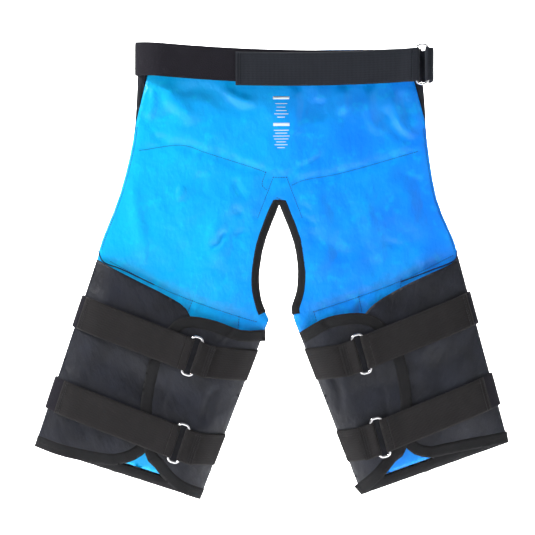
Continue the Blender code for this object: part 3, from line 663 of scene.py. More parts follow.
@dataclass
class Finishes:
    """Every finish on the chaps, made once."""

    lining: Any = field(default_factory=lambda: SatinLining().make())
    shell: Any = field(default_factory=lambda: CoatedNylon().make())
    flaps: dict[str, Any] = field(default_factory=lambda: {
        leg.name: CoatedNylon("flap_nylon_" + leg.name, turn=math.radians(leg.splay) * leg.side).make()
        for leg in LEGS})
    webbing: Any = field(default_factory=lambda: Tape(
        "ribbed_webbing", Weave.RIBBED, (0.0030, 0.0028, 0.0032), (0.020, 0.018, 0.019), 0.0019).make())
    belt: Any = field(default_factory=lambda: Tape(
        "belt_webbing", Weave.RIBBED, (0.0035, 0.0040, 0.0065), (0.022, 0.026, 0.036), 0.0019).make())
    loop: Any = field(default_factory=lambda: Tape(
        "loop_face", Weave.LOOP, (0.0020, 0.0020, 0.0032), (0.018, 0.016, 0.024), 0.0016, 0.95).make())
    hook: Any = field(default_factory=lambda: Tape(
        "hook_face", Weave.HOOK, (0.0040, 0.0040, 0.0045), (0.020, 0.020, 0.022), 0.0014, 0.90).make())
    binding: Any = field(default_factory=lambda: Tape(
        "edge_tape", Weave.EDGING, (0.0050, 0.0050, 0.0058), (0.017, 0.017, 0.019), 0.0011, 0.88).make())
    steel: Any = field(default_factory=lambda: PlatedSteel().make())
    thread: Any = field(default_factory=lambda: Plain(
        "black_thread", (0.006, 0.006, 0.008), (0.030, 0.030, 0.034), 0.6, 0.0006).make())
    blue_thread: Any = field(default_factory=lambda: Plain(
        "blue_thread", (0.0, 0.030, 0.20), (0.0, 0.06, 0.32), 0.55, 0.0006).make())
    piping: Any = field(default_factory=lambda: Plain(
        "navy_piping", (0.001, 0.006, 0.035), (0.002, 0.012, 0.060), 0.6, 0.0008).make())
    print: Any = field(default_factory=lambda: Plain(
        "white_print", (0.62, 0.74, 0.86), (0.80, 0.88, 0.95), 0.6, 0.0015, 0.00002).make())
    padding: Any = field(default_factory=lambda: Plain(
        "fibre_padding", (0.55, 0.52, 0.44), (0.85, 0.83, 0.76), 0.9, 0.0022, 0.0008).make())


# ---------------------------------------------------------------------------------------- mesh tools
def make_object(name: str, points: Array, faces: Iterable[Sequence[int]], finish: Any,
                cloth: Array | None = None) -> bpy.types.Object:
    """Makes a smooth object whose faces point outwards.

    Args:
        name: The piece's name.
        points: World points, one in each row.
        faces: Rows of point numbers.
        finish: The material.
        cloth: Each point's place on the flat cloth, which becomes the UV map.

    Returns:
        The object, at the origin.
    """
    data = bpy.data.meshes.new(name)
    corners = [tuple(map(float, point)) for point in points]
    data.from_pydata(corners, [], [tuple(map(int, row)) for row in faces])
    if cloth is not None:
        layer = data.uv_layers.new(name="cloth")
        index = np.zeros(len(data.loops), np.int32)
        data.loops.foreach_get("vertex_index", index)
        layer.data.foreach_set("uv", cloth[index].astype(np.float32).ravel())
    mesh = bmesh.new()
    mesh.from_mesh(data)
    bmesh.ops.recalc_face_normals(mesh, faces=mesh.faces)
    mesh.to_mesh(data)
    mesh.free()
    data.shade_smooth()
    data.materials.append(finish)
    made = bpy.data.objects.new(name, data)
    bpy.context.scene.collection.objects.link(made)
    return made


def place(made: bpy.types.Object, body: str, slot: str, *nodes: str) -> bpy.types.Object:
    """Makes a piece ride on its body and stand for its CAD nodes."""
    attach(made, body)
    if nodes:
        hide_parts(*nodes)
    LOG.info("%s: %d faces on %s", made.name, len(made.data.polygons), body)
    return made


def node_outline(node: str) -> Array:
    """Returns the (x, z) outline of a sheet's face towards -Y, in order round it."""
    mesh = bmesh.new()
    mesh.from_mesh(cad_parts[node].data)
    bmesh.ops.remove_doubles(mesh, verts=mesh.verts, dist=2e-6)
    mesh.normal_update()
    back = {face for face in mesh.faces if face.normal.y < -0.3}
    follows: dict[int, int] = {}
    for face in back:
        for loop in face.loops:
            if not any(other in back and other is not face for other in loop.edge.link_faces):
                follows[loop.vert.index] = loop.link_loop_next.vert.index
    start = next(iter(follows))
    order = [start]
    while follows[order[-1]] != start and len(order) <= len(follows):
        order.append(follows[order[-1]])
    mesh.verts.ensure_lookup_table()
    outline = np.array([(mesh.verts[k].co.x, mesh.verts[k].co.z) for k in order])
    mesh.free()
    return outline


@dataclass
class Fill:
    """A fine mesh of triangles inside an (x, z) outline."""

    outline: Array
    spacing: float
    x: Array = field(init=False)
    z: Array = field(init=False)
    faces: list = field(init=False)
    rim: list = field(init=False)

    def __post_init__(self) -> None:
        """Fills the outline with evenly spaced points and joins them."""
        loop = resample(self.outline, self.spacing, closed=True)
        low, high = loop.min(axis=0), loop.max(axis=0)
        rise = self.spacing * math.sqrt(3) / 2
        columns = np.arange(low[0], high[0], self.spacing)
        rows = np.arange(low[1], high[1], rise)
        grid_x, grid_z = np.meshgrid(columns, rows)
        grid_x[1::2] += self.spacing / 2
        x, z = grid_x.ravel(), grid_z.ravel()
        kept = inside(x, z, loop)
        x, z = x[kept], z[kept]
        clear = distance(x, z, np.vstack([loop, loop[:1]])) > self.spacing * 0.6
        points = np.vstack([loop, np.stack([x[clear], z[clear]], axis=1)])
        count = len(loop)
        edges = [(k, (k + 1) % count) for k in range(count)]
        made = delaunay_2d_cdt([Vector(point) for point in points], edges, [], 1, 1e-7, False)
        found = np.array([tuple(point) for point in made[0]])
        self.x, self.z = found[:, 0], found[:, 1]
        corners = np.array([tuple(face) for face in made[2]])
        within = inside(self.x[corners].mean(axis=1), self.z[corners].mean(axis=1), loop)
        self.faces = [tuple(map(int, face)) for face in corners[within]]
        sides = {}
        for face in self.faces:
            for a, b in zip(face, face[1:] + face[:1]):
                sides[(a, b)] = True
        self.rim = [pair for pair in sides if (pair[1], pair[0]) not in sides]

    def shell(self, name: str, back: Array, front: Array, finish: Any,
              cloth: Array | None = None) -> bpy.types.Object:
        """Makes a closed sheet.

        Args:
            name: The piece's name.
            back: The depth of each point's -Y side.
            front: The depth of its +Y side.
            finish: The material.
            cloth: The points' places on the flat cloth, or None for (x, z).

        Returns:
            The object.
        """
        count = len(self.x)
        points = np.concatenate([np.stack([self.x, depth, self.z], axis=1) for depth in (back, front)])
        faces = [*self.faces, *[tuple(k + count for k in reversed(face)) for face in self.faces]]
        faces += [(b, a, a + count, b + count) for a, b in self.rim]
        flat = np.stack([self.x, self.z], axis=1) if cloth is None else cloth
        return make_object(name, points, faces, finish, np.vstack([flat, flat]))


@dataclass
class Band:
    """A woven band that follows a route in space."""

    name: str
    finish: Any
    width: float = CUT.webbing_width
    thick: float = CUT.webbing_thick
    columns: int = 16
    ripple: float = 0.00025

    def profile(self) -> tuple[Array, Array]:
        """Returns places across the band and the half thickness at each, thin and round at the edges."""
        turns = np.linspace(0.0, math.pi, self.columns + 1)
        across = -np.cos(turns) * 0.22 + np.linspace(-1, 1, self.columns + 1) * 0.78
        edge = np.clip((1 - np.abs(across)) * self.width / 2 / 0.0012, 0.0, 1.0)
        return across * self.width / 2, self.thick / 2 * (0.30 + 0.70 * np.sqrt(edge * (2 - edge)))

    def build(self, route: Array, sides: Array, start: float = 0.0) -> bpy.types.Object:
        """Makes the band.

        Args:
            route: Its middle line's world points, close together.
            sides: The direction across it at each point.
            start: The cloth's length before its first point.

        Returns:
            The object.
        """
        ahead = np.gradient(route, axis=0)
        ahead /= np.linalg.norm(ahead, axis=1)[:, None]
        out = np.cross(ahead, sides)
        out /= np.linalg.norm(out, axis=1)[:, None]
        steps = np.linalg.norm(np.diff(route, axis=0), axis=1)
        along = start + np.concatenate([[0.0], np.cumsum(steps)])
        across, half = self.profile()
        wide = len(across)
        lift = np.array([[noise.noise((a / 0.030, c / 0.045, 5.0)) for c in across] for a in along])
        lift *= self.ripple
        centre = route[:, None, :] + sides[:, None, :] * across[None, :, None]
        centre = centre + out[:, None, :] * lift[:, :, None]
        near = centre + out[:, None, :] * half[None, :, None]
        far = centre - out[:, None, :] * half[None, :, None]
        rows = np.concatenate([near, far[:, ::-1]], axis=1)
        ring = 2 * wide
        cloth_row = np.stack([np.zeros(ring), np.concatenate([across, across[::-1]])], axis=1)
        cloth = np.concatenate([cloth_row + (a, 0.0) for a in along])
        faces = []
        for k in range(len(route) - 1):
            for c in range(ring):
                d = (c + 1) % ring
                faces.append((k * ring + c, k * ring + d, (k + 1) * ring + d, (k + 1) * ring + c))
        for first in (0, (len(route) - 1) * ring):
            for c in range(wide - 1):
                faces.append((first + c, first + c + 1, first + ring - 2 - c, first + ring - 1 - c))
        return make_object(self.name, rows.reshape(-1, 3), faces, self.finish, cloth)


def offset(line: Array, lift: float) -> Array:
    """Moves an (s, y) line sideways, towards -Y where lift is positive."""
    ahead = np.gradient(line, axis=0)
    ahead /= np.linalg.norm(ahead, axis=1)[:, None]
    return line + np.stack([ahead[:, 1], -ahead[:, 0]], axis=1) * lift


def arc(centre: tuple[float, float], radius: float, start: float, end: float, steps: int = 16) -> Array:
    """Returns an arc's points, from start to end in degrees."""
    turns = np.radians(np.linspace(start, end, steps + 1))
    return np.stack([centre[0] + radius * np.cos(turns), centre[1] + radius * np.sin(turns)], axis=1)


# ---------------------------------------------------------------------------------------- stitches
class Seam(Enum):
    """How a thread is sewn."""

    RUNNING = "running"
    CORD = "cord"


@dataclass
class Stitcher:
    """Geometry nodes that sew thread along lines: single stitches, or a cord that never breaks."""

    thread: Any
    trees: dict[Seam, Any] = field(default_factory=dict)

    def tree(self, seam: Seam) -> Any:
        """Returns the node group for one way of sewing, made at its first use."""
        if seam in self.trees:
            return self.trees[seam]
        group = bpy.data.node_groups.new("stitches_" + seam.value, "GeometryNodeTree")
        face = group.interface
        face.new_socket("Line", in_out="INPUT", socket_type="NodeSocketGeometry")
        for label, size in (("Pitch", 0.003), ("Length", 0.002), ("Radius", 0.0003)):
            face.new_socket(label, in_out="INPUT", socket_type="NodeSocketFloat").default_value = size
        face.new_socket("Thread", in_out="INPUT", socket_type="NodeSocketMaterial")
        face.new_socket("Stitches", in_out="OUTPUT", socket_type="NodeSocketGeometry")
        nodes, link = group.nodes, group.links.new
        given = nodes.new("NodeGroupInput")
        result = nodes.new("NodeGroupOutput")
        dress = nodes.new("GeometryNodeSetMaterial")
        solid = nodes.new("GeometryNodeRealizeInstances")
        if seam is Seam.RUNNING:
            cut = nodes.new("GeometryNodeResampleCurve")
            cut.mode = "LENGTH"
            link(given.outputs["Line"], cut.inputs["Curve"])
            link(given.outputs["Pitch"], cut.inputs["Length"])
            shape = nodes.new("GeometryNodeMeshCylinder")
            shape.inputs["Vertices"].default_value = 6
            link(given.outputs["Radius"], shape.inputs["Radius"])
            link(given.outputs["Length"], shape.inputs["Depth"])
            tangent = nodes.new("GeometryNodeInputTangent")
            turn = nodes.new("FunctionNodeAlignRotationToVector")
            turn.axis = "Z"
            link(tangent.outputs[0], turn.inputs["Vector"])
            copies = nodes.new("GeometryNodeInstanceOnPoints")
            link(cut.outputs[0], copies.inputs["Points"])
            link(shape.outputs["Mesh"], copies.inputs["Instance"])
            link(turn.outputs[0], copies.inputs["Rotation"])
            link(copies.outputs[0], solid.inputs[0])
        else:
            circle = nodes.new("GeometryNodeCurvePrimitiveCircle")
            circle.inputs["Resolution"].default_value = 6
            link(given.outputs["Radius"], circle.inputs["Radius"])
            sweep = nodes.new("GeometryNodeCurveToMesh")
            sweep.inputs["Fill Caps"].default_value = True
            link(given.outputs["Line"], sweep.inputs["Curve"])
            link(circle.outputs["Curve"], sweep.inputs["Profile Curve"])
            link(sweep.outputs[0], solid.inputs[0])
        link(solid.outputs[0], dress.inputs["Geometry"])
        link(given.outputs["Thread"], dress.inputs["Material"])
        link(dress.outputs[0], result.inputs[0])
        self.trees[seam] = group
        return group

    def sew(self, name: str, lines: Sequence[Array], seam: Seam = Seam.RUNNING, pitch: float = 0.0034,
            length: float = 0.0024, radius: float = 0.00032, thread: Any = None) -> bpy.types.Object:
        """Sews thread along lines of world points.

        Args:
            name: The piece's name.
            lines: The lines, which lie on the cloth.
            seam: How it is sewn.
            pitch: From one stitch to the next.
            length: One stitch's length.
            radius: The thread's radius.
            thread: The thread's material, if not the usual one.

        Returns:
            The stitches as one plain mesh.
        """
        data = bpy.data.curves.new(name + "_line", "CURVE")
        data.dimensions = "3D"
        for line in lines:
            run = data.splines.new("POLY")
            run.points.add(len(line) - 1)
            for knot, point in zip(run.points, line):
                knot.co = (*map(float, point), 1.0)
        guide = bpy.data.objects.new(name + "_line", data)
        bpy.context.scene.collection.objects.link(guide)
        group = self.tree(seam)
        modifier = guide.modifiers.new("stitches", "NODES")
        modifier.node_group = group
        keys = {item.name: item.identifier for item in group.interface.items_tree if item.in_out == "INPUT"}
        finish = thread or self.thread
        for label, setting in (("Pitch", pitch), ("Length", length), ("Radius", radius), ("Thread", finish)):
            modifier[keys[label]] = setting
        graph = bpy.context.evaluated_depsgraph_get()
        graph.update()
        mesh = bpy.data.meshes.new_from_object(guide.evaluated_get(graph), depsgraph=graph)
        mesh.name = name
        guide.modifiers.remove(modifier)
        bpy.data.objects.remove(guide)
        if not mesh.materials:
            mesh.materials.append(finish)
        made = bpy.data.objects.new(name, mesh)
        bpy.context.scene.collection.objects.link(made)
        return made


# ---------------------------------------------------------------------------------------- panel
def nearest(x: Array, z: Array, line: Array) -> tuple[Array, Array]:
    """Returns each place's distance from a line, and how far along the line its nearest point is."""
    best = np.full(len(x), 1e9)
    along = np.zeros(len(x))
    passed = 0.0
    for start, end in zip(line, line[1:]):
        run = end - start
        size = float(np.linalg.norm(run)) or 1e-9
        t = np.clip(((x - start[0]) * run[0] + (z - start[1]) * run[1]) / size**2, 0.0, 1.0)
        away = np.hypot(x - start[0] - run[0] * t, z - start[1] - run[1] * t)
        closer = away < best
        best = np.where(closer, away, best)
        along = np.where(closer, passed + t * size, along)
        passed += size
    return best, along


def roll(away: Array, width: float) -> Array:
    """Returns 0 at an edge and 1 beyond width, round like a quarter of an ellipse."""
    share = 1 - np.clip(away / width, 0.0, 1.0)
    return np.sqrt(np.maximum(1 - share**2, 0.0))


def inset(loop: Array, amount: float) -> Array:
    """Moves a closed outline inwards."""
    before, after = np.roll(loop, 1, axis=0), np.roll(loop, -1, axis=0)
    area = float(np.sum(loop[:, 0] * after[:, 1] - after[:, 0] * loop[:, 1]))
    turn = 1.0 if area > 0 else -1.0
    ahead_in = (loop - before) / np.linalg.norm(loop - before, axis=1)[:, None]
    ahead_out = (after - loop) / np.linalg.norm(after - loop, axis=1)[:, None]
    square_in = np.stack([-ahead_in[:, 1], ahead_in[:, 0]], axis=1) * turn
    square_out = np.stack([-ahead_out[:, 1], ahead_out[:, 0]], axis=1) * turn
    middle = square_in + square_out
    middle /= np.linalg.norm(middle, axis=1)[:, None]
    reach = np.maximum(np.sum(middle * square_in, axis=1), 0.5)
    return loop + middle * (amount / reach)[:, None]


@dataclass(frozen=True)
class Fold:
    """A ridge in the cloth along a line, or a dip where its height is below zero."""

    line: tuple
    height: float
    width: float

    def lift(self, x: Array, z: Array) -> Array:
        """Returns the fold's height at each place, fading out towards its two ends."""
        line = spline(self.line, 6)
        away, along = nearest(x, z, line)
        length = float(np.sum(np.linalg.norm(np.diff(line, axis=0), axis=1)))
        fade = np.clip(np.minimum(along, length - along) / (0.35 * length), 0.0, 1.0)
        return self.height * np.exp(-((away / self.width) ** 2)) * fade * (2 - fade)


@dataclass
class Panel:
    """The padded front panel: shell, pads, lining, facings, bindings and the print on the lining."""

    finishes: Finishes
    stitcher: Stitcher
    cut: PanelCut = field(default_factory=PanelCut)
    spacing: float = 0.0048
    edge_middle: float = 0.0155
    free_edge: float = 0.0114
    fold_gain: float = 1.6
    seams: tuple = (
        ((-0.2130, -0.1235), (-0.1536, -0.1157), (-0.1129, -0.1279), (-0.0478, -0.1485), (-0.0278, -0.1558)),
        ((-0.0278, -0.1558), (-0.0331, -0.1735), (-0.0272, -0.1808)),
        ((0.0119, -0.1743), (0.0316, -0.1668), (0.0889, -0.1558), (0.1954, -0.1254)),
        ((-0.2560, -0.2880), (-0.1918, -0.3219), (-0.1360, -0.3455), (-0.0669, -0.3690), (-0.0420, -0.3760)),
        ((-0.1360, -0.3455), (-0.1419, -0.3602)),
        ((-0.0669, -0.3690), (-0.0684, -0.3851)),
        ((0.0434, -0.3616), (0.1095, -0.3396), (0.1735, -0.3153), (0.2480, -0.2790)),
        ((0.1095, -0.3396), (0.1139, -0.3602)),
        ((0.1720, -0.3146), (0.1713, -0.3234)),
        ((0.0434, -0.3616), (0.0478, -0.3778)),
    )
    piping: tuple = (
        ((-0.2756, -0.2705), (-0.2668, -0.2881), (-0.2400, -0.2990), (-0.1918, -0.3219)),
        ((0.2550, -0.2705), (0.2506, -0.2859), (0.2150, -0.3005), (0.1717, -0.3175)),
    )
    folds: tuple = (
        Fold(((-0.1965, -0.1023), (-0.1836, -0.1062), (-0.1707, -0.1078)), -0.0022, 0.0050),
        Fold(((-0.1513, -0.1152), (-0.1410, -0.1215), (-0.1297, -0.1260)), -0.0022, 0.0050),
        Fold(((-0.0866, -0.1369), (-0.0600, -0.1490), (-0.0284, -0.1541)), -0.0032, 0.0055),
        Fold(((-0.0736, -0.1648), (-0.0690, -0.1800), (-0.0585, -0.1951)), -0.0026, 0.0060),
        Fold(((-0.0714, -0.2058), (-0.0680, -0.2140), (-0.0629, -0.2209)), -0.0020, 0.0045),
        Fold(((-0.0844, -0.2424), (-0.0933, -0.2499), (-0.0978, -0.2602), (-0.1082, -0.2683)),
             -0.0036, 0.0050),
        Fold(((-0.0714, -0.2489), (-0.0630, -0.2450), (-0.0542, -0.2424)), -0.0024, 0.0045),
        Fold(((-0.2117, -0.0678), (-0.2100, -0.0760), (-0.2062, -0.0851)), -0.0024, 0.0050),
        Fold(((-0.1580, -0.0632), (-0.1830, -0.0790), (-0.2073, -0.0916)), -0.0018, 0.0100),
        Fold(((-0.1685, -0.0204), (-0.1513, -0.0334), (-0.1211, -0.0334), (-0.0953, -0.0463),
              (-0.0694, -0.0635), (-0.0413, -0.0592)), -0.0022, 0.0110),
        Fold(((-0.1232, -0.1541), (-0.1220, -0.1740), (-0.1189, -0.1929)), -0.0016, 0.0090),
        Fold(((0.0522, -0.0470), (0.0520, -0.0640), (0.0522, -0.0809)), -0.0020, 0.0080),
        Fold(((0.1448, -0.0588), (0.1580, -0.0882), (0.1808, -0.1058), (0.2033, -0.1082)), -0.0034, 0.0065),
        Fold(((0.1717, -0.0362), (0.1790, -0.0600), (0.1874, -0.0809)), -0.0026, 0.0050),
        Fold(((0.0165, -0.1510), (0.0434, -0.1397), (0.0614, -0.1261)), -0.0018, 0.0035),
        Fold(((0.0278, -0.2387), (0.0669, -0.2661), (0.1088, -0.2837)), -0.0020, 0.0110),
        Fold(((0.1448, -0.2567), (0.1600, -0.2620), (0.1763, -0.2656)), -0.0018, 0.0040),
        Fold(((0.0232, -0.2029), (0.0320, -0.2080), (0.0412, -0.2117)), -0.0018, 0.0038),
        Fold(((0.0301, -0.2230), (0.0390, -0.2280), (0.0478, -0.2320)), -0.0016, 0.0038),
        Fold(((0.1898, -0.1645), (0.1970, -0.1680), (0.2033, -0.1713)), -0.0018, 0.0045),
        Fold(((-0.1815, -0.0269), (-0.1685, -0.0441), (-0.1405, -0.0700), (-0.1213, -0.0632)),
             0.0034, 0.0120),
        Fold(((-0.1955, -0.0269), (-0.1933, -0.0506), (-0.2008, -0.0764)), 0.0030, 0.0045),
        Fold(((-0.0908, -0.0334), (-0.0629, -0.0506), (-0.0391, -0.0528)), 0.0026, 0.0065),
        Fold(((-0.2331, -0.1411), (-0.2190, -0.2100), (-0.2073, -0.2792)), 0.0024, 0.0100),
        Fold(((-0.1492, -0.1757), (-0.1530, -0.1860), (-0.1555, -0.1971)), 0.0022, 0.0070),
        Fold(((0.0154, -0.0272), (0.0160, -0.0650), (0.0169, -0.1029)), 0.0022, 0.0080),
        Fold(((0.0839, -0.0265), (0.0845, -0.0500), (0.0839, -0.0720)), 0.0026, 0.0080),
        Fold(((0.1223, -0.0272), (0.1267, -0.0809), (0.1470, -0.0992)), 0.0030, 0.0080),
        Fold(((0.1560, -0.0362), (0.1717, -0.0857), (0.1987, -0.1103)), 0.0030, 0.0060),
        Fold(((0.1852, -0.0294), (0.1962, -0.0588), (0.2033, -0.0926)), 0.0030, 0.0060),
        Fold(((-0.060, -0.170), (-0.090, -0.220), (-0.100, -0.300)), 0.0022, 0.017),
        Fold(((0.040, -0.190), (0.060, -0.240), (0.055, -0.310)), 0.0022, 0.016),
        Fold(((0.105, -0.175), (0.125, -0.225), (0.130, -0.290)), 0.0022, 0.018),
        Fold(((0.170, -0.160), (0.185, -0.210), (0.200, -0.255)), 0.0022, 0.015),
    )

    def bound_edges(self) -> list[tuple[Array, float]]:
        """Returns the edges that a binding covers, each with the binding's width."""
        edges = []
        for leg in LEGS:
            top = np.linalg.norm(self.cut.inner_edge(leg) - leg.point(*leg.inner_top), axis=1).argmin()
            edges.append((self.cut.hem(leg), CUT.hem_binding))
            edges.append((self.cut.inner_edge(leg)[:top + 1], CUT.inseam_binding))
        return edges

    def free_edges(self) -> list[Array]:
        """Returns the edges that have no binding."""
        edges = [self.cut.hip_edge(leg) for leg in LEGS]
        for leg in LEGS:
            edges.append(np.array([leg.point(*leg.inner_top), leg.point(*leg.hem_inner)]))
        return edges

    def patch_lines(self) -> list[Array]:
        """Returns the crotch patch's stitched outline."""
        x, z = self.cut.crotch
        left = np.array([(x - 0.0088, z + 0.0388), (x - 0.0314, z - 0.0200)])
        right = np.array([(x + 0.0108, z + 0.0388), (x + 0.0333, z - 0.0200)])
        return [left, right, np.array([left[0], right[0]])]

    def seam_lines(self) -> list[Array]:
        """Returns the lining's sewn lines."""
        return [spline(seam, 5) for seam in self.seams] + self.patch_lines()

    def relief(self, x: Array, z: Array) -> Array:
        """Returns how far the lining stands proud of its seams."""
        edge = np.full(len(x), 1.0)
        for line in [pair[0] for pair in self.bound_edges()] + self.free_edges():
            edge = np.minimum(edge, distance(x, z, line))
        seam = np.full(len(x), 1.0)
        pucker = np.zeros(len(x))
        for index, line in enumerate(self.seam_lines()):
            away, along = nearest(x, z, line)
            seam = np.minimum(seam, away)
            pucker += np.exp(-((away / 0.010) ** 2)) * np.sin(along * 2 * math.pi / 0.021 + index) * 0.0004
        crown = 1 - np.exp(-edge / 0.022)
        height = 0.0030 + 0.0016 * wrinkle(x, z, (0.060, 0.090), 2.0, 0.5)
        height = height + 0.0008 * wrinkle(x, z, (0.020, 0.045), 9.0, -0.4)
        for fold in self.folds:
            height = height + fold.lift(x, z) * self.fold_gain
        held = 1 - 0.85 * np.exp(-((seam / 0.0075) ** 2))
        return np.maximum(height * crown * held + pucker * crown, 0.0)

    def edge_roll(self, x: Array, z: Array, outer: float, full: float) -> Array:
        """Returns the depth of a face of the panel that rolls in towards the panel's edges.

        Args:
            x: Places across.
            z: Places up.
            outer: The depth that the face has at a free edge.
            full: The depth that it has away from the edges.

        Returns:
            The depths.
        """
        depth = np.full(len(x), full)
        for line, width in self.bound_edges():
            rolled = self.edge_middle + (full - self.edge_middle) * roll(distance(x, z, line), width)
            depth = np.where(np.abs(rolled - full) > np.abs(depth - full), rolled, depth)
        for line in self.free_edges():
            rolled = outer + (full - outer) * roll(distance(x, z, line), 0.0115)
            depth = np.where(np.abs(rolled - full) > np.abs(depth - full), rolled, depth)
        return depth

    def build_lining(self) -> None:
        """Makes the lining, with its folds, and the thread on its seams."""
        loop = node_outline("lining")
        cloth = Fill(loop, self.spacing)
        base = self.edge_roll(cloth.x, cloth.z, self.free_edge, CUT.lining_back)
        back = base - self.relief(cloth.x, cloth.z)
        made = cloth.shell("blue_lining", back, back + 0.0006, self.finishes.lining)
        place(made, "panel", "lining", "lining", "crotch_patch")
        lines = [self.on_lining(even(line, 0.0026)) for line in self.seam_lines()]
        for leg in LEGS:
            hip = even(self.cut.hip_edge(leg), 0.003)
            hip = hip[hip[:, 1] < -0.090]
            hip = hip[hip[:, 1] > -0.270] + np.array((leg.side * 0.0042, 0.0))
            lines.append(self.on_lining(hip))
        sewn = self.stitcher.sew("lining_stitches", lines, thread=self.finishes.blue_thread, radius=0.00042)
        place(sewn, "panel", "lining")
        piped = [self.on_lining(even(spline(line, 6), 0.0020)) for line in self.piping]
        navy = self.stitcher.sew("knee_piping", piped, Seam.CORD, radius=0.00085, thread=self.finishes.piping)
        place(navy, "panel", "lining")

    def on_lining(self, line: Array) -> Array:
        """Lifts an (x, z) line onto the lining."""
        x, z = line[:, 0], line[:, 1]
        y = self.edge_roll(x, z, self.free_edge, CUT.lining_back) - self.relief(x, z) - 0.0001
        return np.stack([x, y, z], axis=1)

    def build_shell(self, leg: LegFrame) -> None:
        """Makes one half of the outer shell."""
        node = "outer_shell_" + leg.name
        loop = node_outline(node)
        cloth = Fill(loop, 0.0060)
        x, z = cloth.x, cloth.z
        full = self.edge_roll(x, z, self.free_edge, CUT.shell_front - 0.0004)
        middle = np.clip(np.abs(x - self.cut.crotch[0]) / 0.010, 0.0, 1.0)
        waist = roll(distance(x, z, spline(self.cut.waist, 4)), 0.0045)
        full = self.free_edge + (full - self.free_edge) * (0.35 + 0.65 * waist)
        under_belt = np.clip((-0.035 - z) / 0.030, 0.0, 1.0)
        edge = np.minimum(distance(x, z, self.cut.hip_edge(leg)), distance(x, z, self.cut.inner_edge(leg)))
        puff = 0.0012 + 0.0014 * wrinkle(x, z, (0.080, 0.120), 12.0, 0.3)
        puff = puff + 0.0006 * wrinkle(x, z, (0.025, 0.050), 15.0)
        front = full + np.maximum(puff, 0.0) * middle * under_belt * (1 - np.exp(-edge / 0.018))
        made = cloth.shell("outer_shell_cloth_" + leg.name, front - 0.0008, front, self.finishes.shell)
        place(made, "panel", "nylon", node)

    def build_pad(self, leg: LegFrame) -> None:
        """Makes one pad of fibre layers, puffed up by a short cloth simulation."""
        node = "protective_pad_" + leg.name
        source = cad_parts[node].data.copy()
        made = bpy.data.objects.new("padding_" + leg.name, source)
        bpy.context.scene.collection.objects.link(made)
        mesh = bmesh.new()
        mesh.from_mesh(source)
        bmesh.ops.remove_doubles(mesh, verts=mesh.verts, dist=2e-6)
        middle = (CUT.lining_front + CUT.shell_front) / 2
        for corner in mesh.verts:
            corner.co.y = middle + (corner.co.y - middle) * 0.80
        mesh.to_mesh(source)
        mesh.free()
        swell(made, cap=0.0012, voxel=0.0060)
        for corner in made.data.vertices:
            corner.co.y = min(max(corner.co.y, 0.0113), 0.0194)
        made.data.materials.clear()
        made.data.materials.append(self.finishes.padding)
        made.data.shade_smooth()
        place(made, "panel", "padding", node)

    def build_facing(self, leg: LegFrame) -> None:
        """Makes the black waist facing in one corner of the lining."""
        node = "waist_facing_" + leg.name
        loop = node_outline(node)
        cloth = Fill(loop, 0.0030)
        away = distance(cloth.x, cloth.z, np.vstack([loop, loop[:1]]))
        back = CUT.lining_back - 0.0012 * (1 - np.exp(-away / 0.004))
        made = cloth.shell("waist_corner_" + leg.name, back, back + 0.0008, self.finishes.shell)
        place(made, "panel", "nylon", node)

    def build_edging(self, name: str, line: Array, width: float, *nodes: str) -> None:
        """Makes a tape folded over the panel's edge.

        Args:
            name: The piece's name.
            line: The edge, with the panel to the left of it.
            width: How far the tape reaches in.
            nodes: The CAD nodes that it stands for.
        """
        line = even(line, 0.0035)
        ahead = np.gradient(line, axis=0)
        ahead /= np.linalg.norm(ahead, axis=1)[:, None]
        inward = np.stack([-ahead[:, 1], ahead[:, 0]], axis=1)
        turns = np.radians(np.linspace(-90, 90, 25))
        outside = [(width * (1 - math.cos(t)) - 0.0008, self.edge_middle + 0.0067 * math.sin(t)) for t in turns]
        within = [(width * (1 - math.cos(t)), self.edge_middle + 0.0060 * math.sin(t)) for t in turns[::-1]]
        section = outside + within
        count = len(section)
        girth = np.concatenate([[0.0], np.cumsum(np.hypot(*np.diff(np.array(section), axis=0).T))])
        along = np.concatenate([[0.0], np.cumsum(np.linalg.norm(np.diff(line, axis=0), axis=1))])
        rows, cloth = [], []
        for k, here in enumerate(line):
            for c, (reach, y) in enumerate(section):
                wave = 0.0003 * noise.noise((along[k] / 0.012, c * 0.25, 3.0))
                moved = here + inward[k] * (reach + wave)
                rows.append((moved[0], y, moved[1]))
                cloth.append((along[k], girth[c]))
        faces = []
        for k in range(len(line) - 1):
            for c in range(count):
                d = (c + 1) % count
                faces.append((k * count + c, k * count + d, (k + 1) * count + d, (k + 1) * count + c))
        half = count // 2
        for first in (0, (len(line) - 1) * count):
            for c in range(half - 1):
                faces.append((first + c, first + c + 1, first + count - 2 - c, first + count - 1 - c))
        made = make_object(name, np.array(rows), faces, self.finishes.binding, np.array(cloth))
        place(made, "panel", "binding", *nodes)

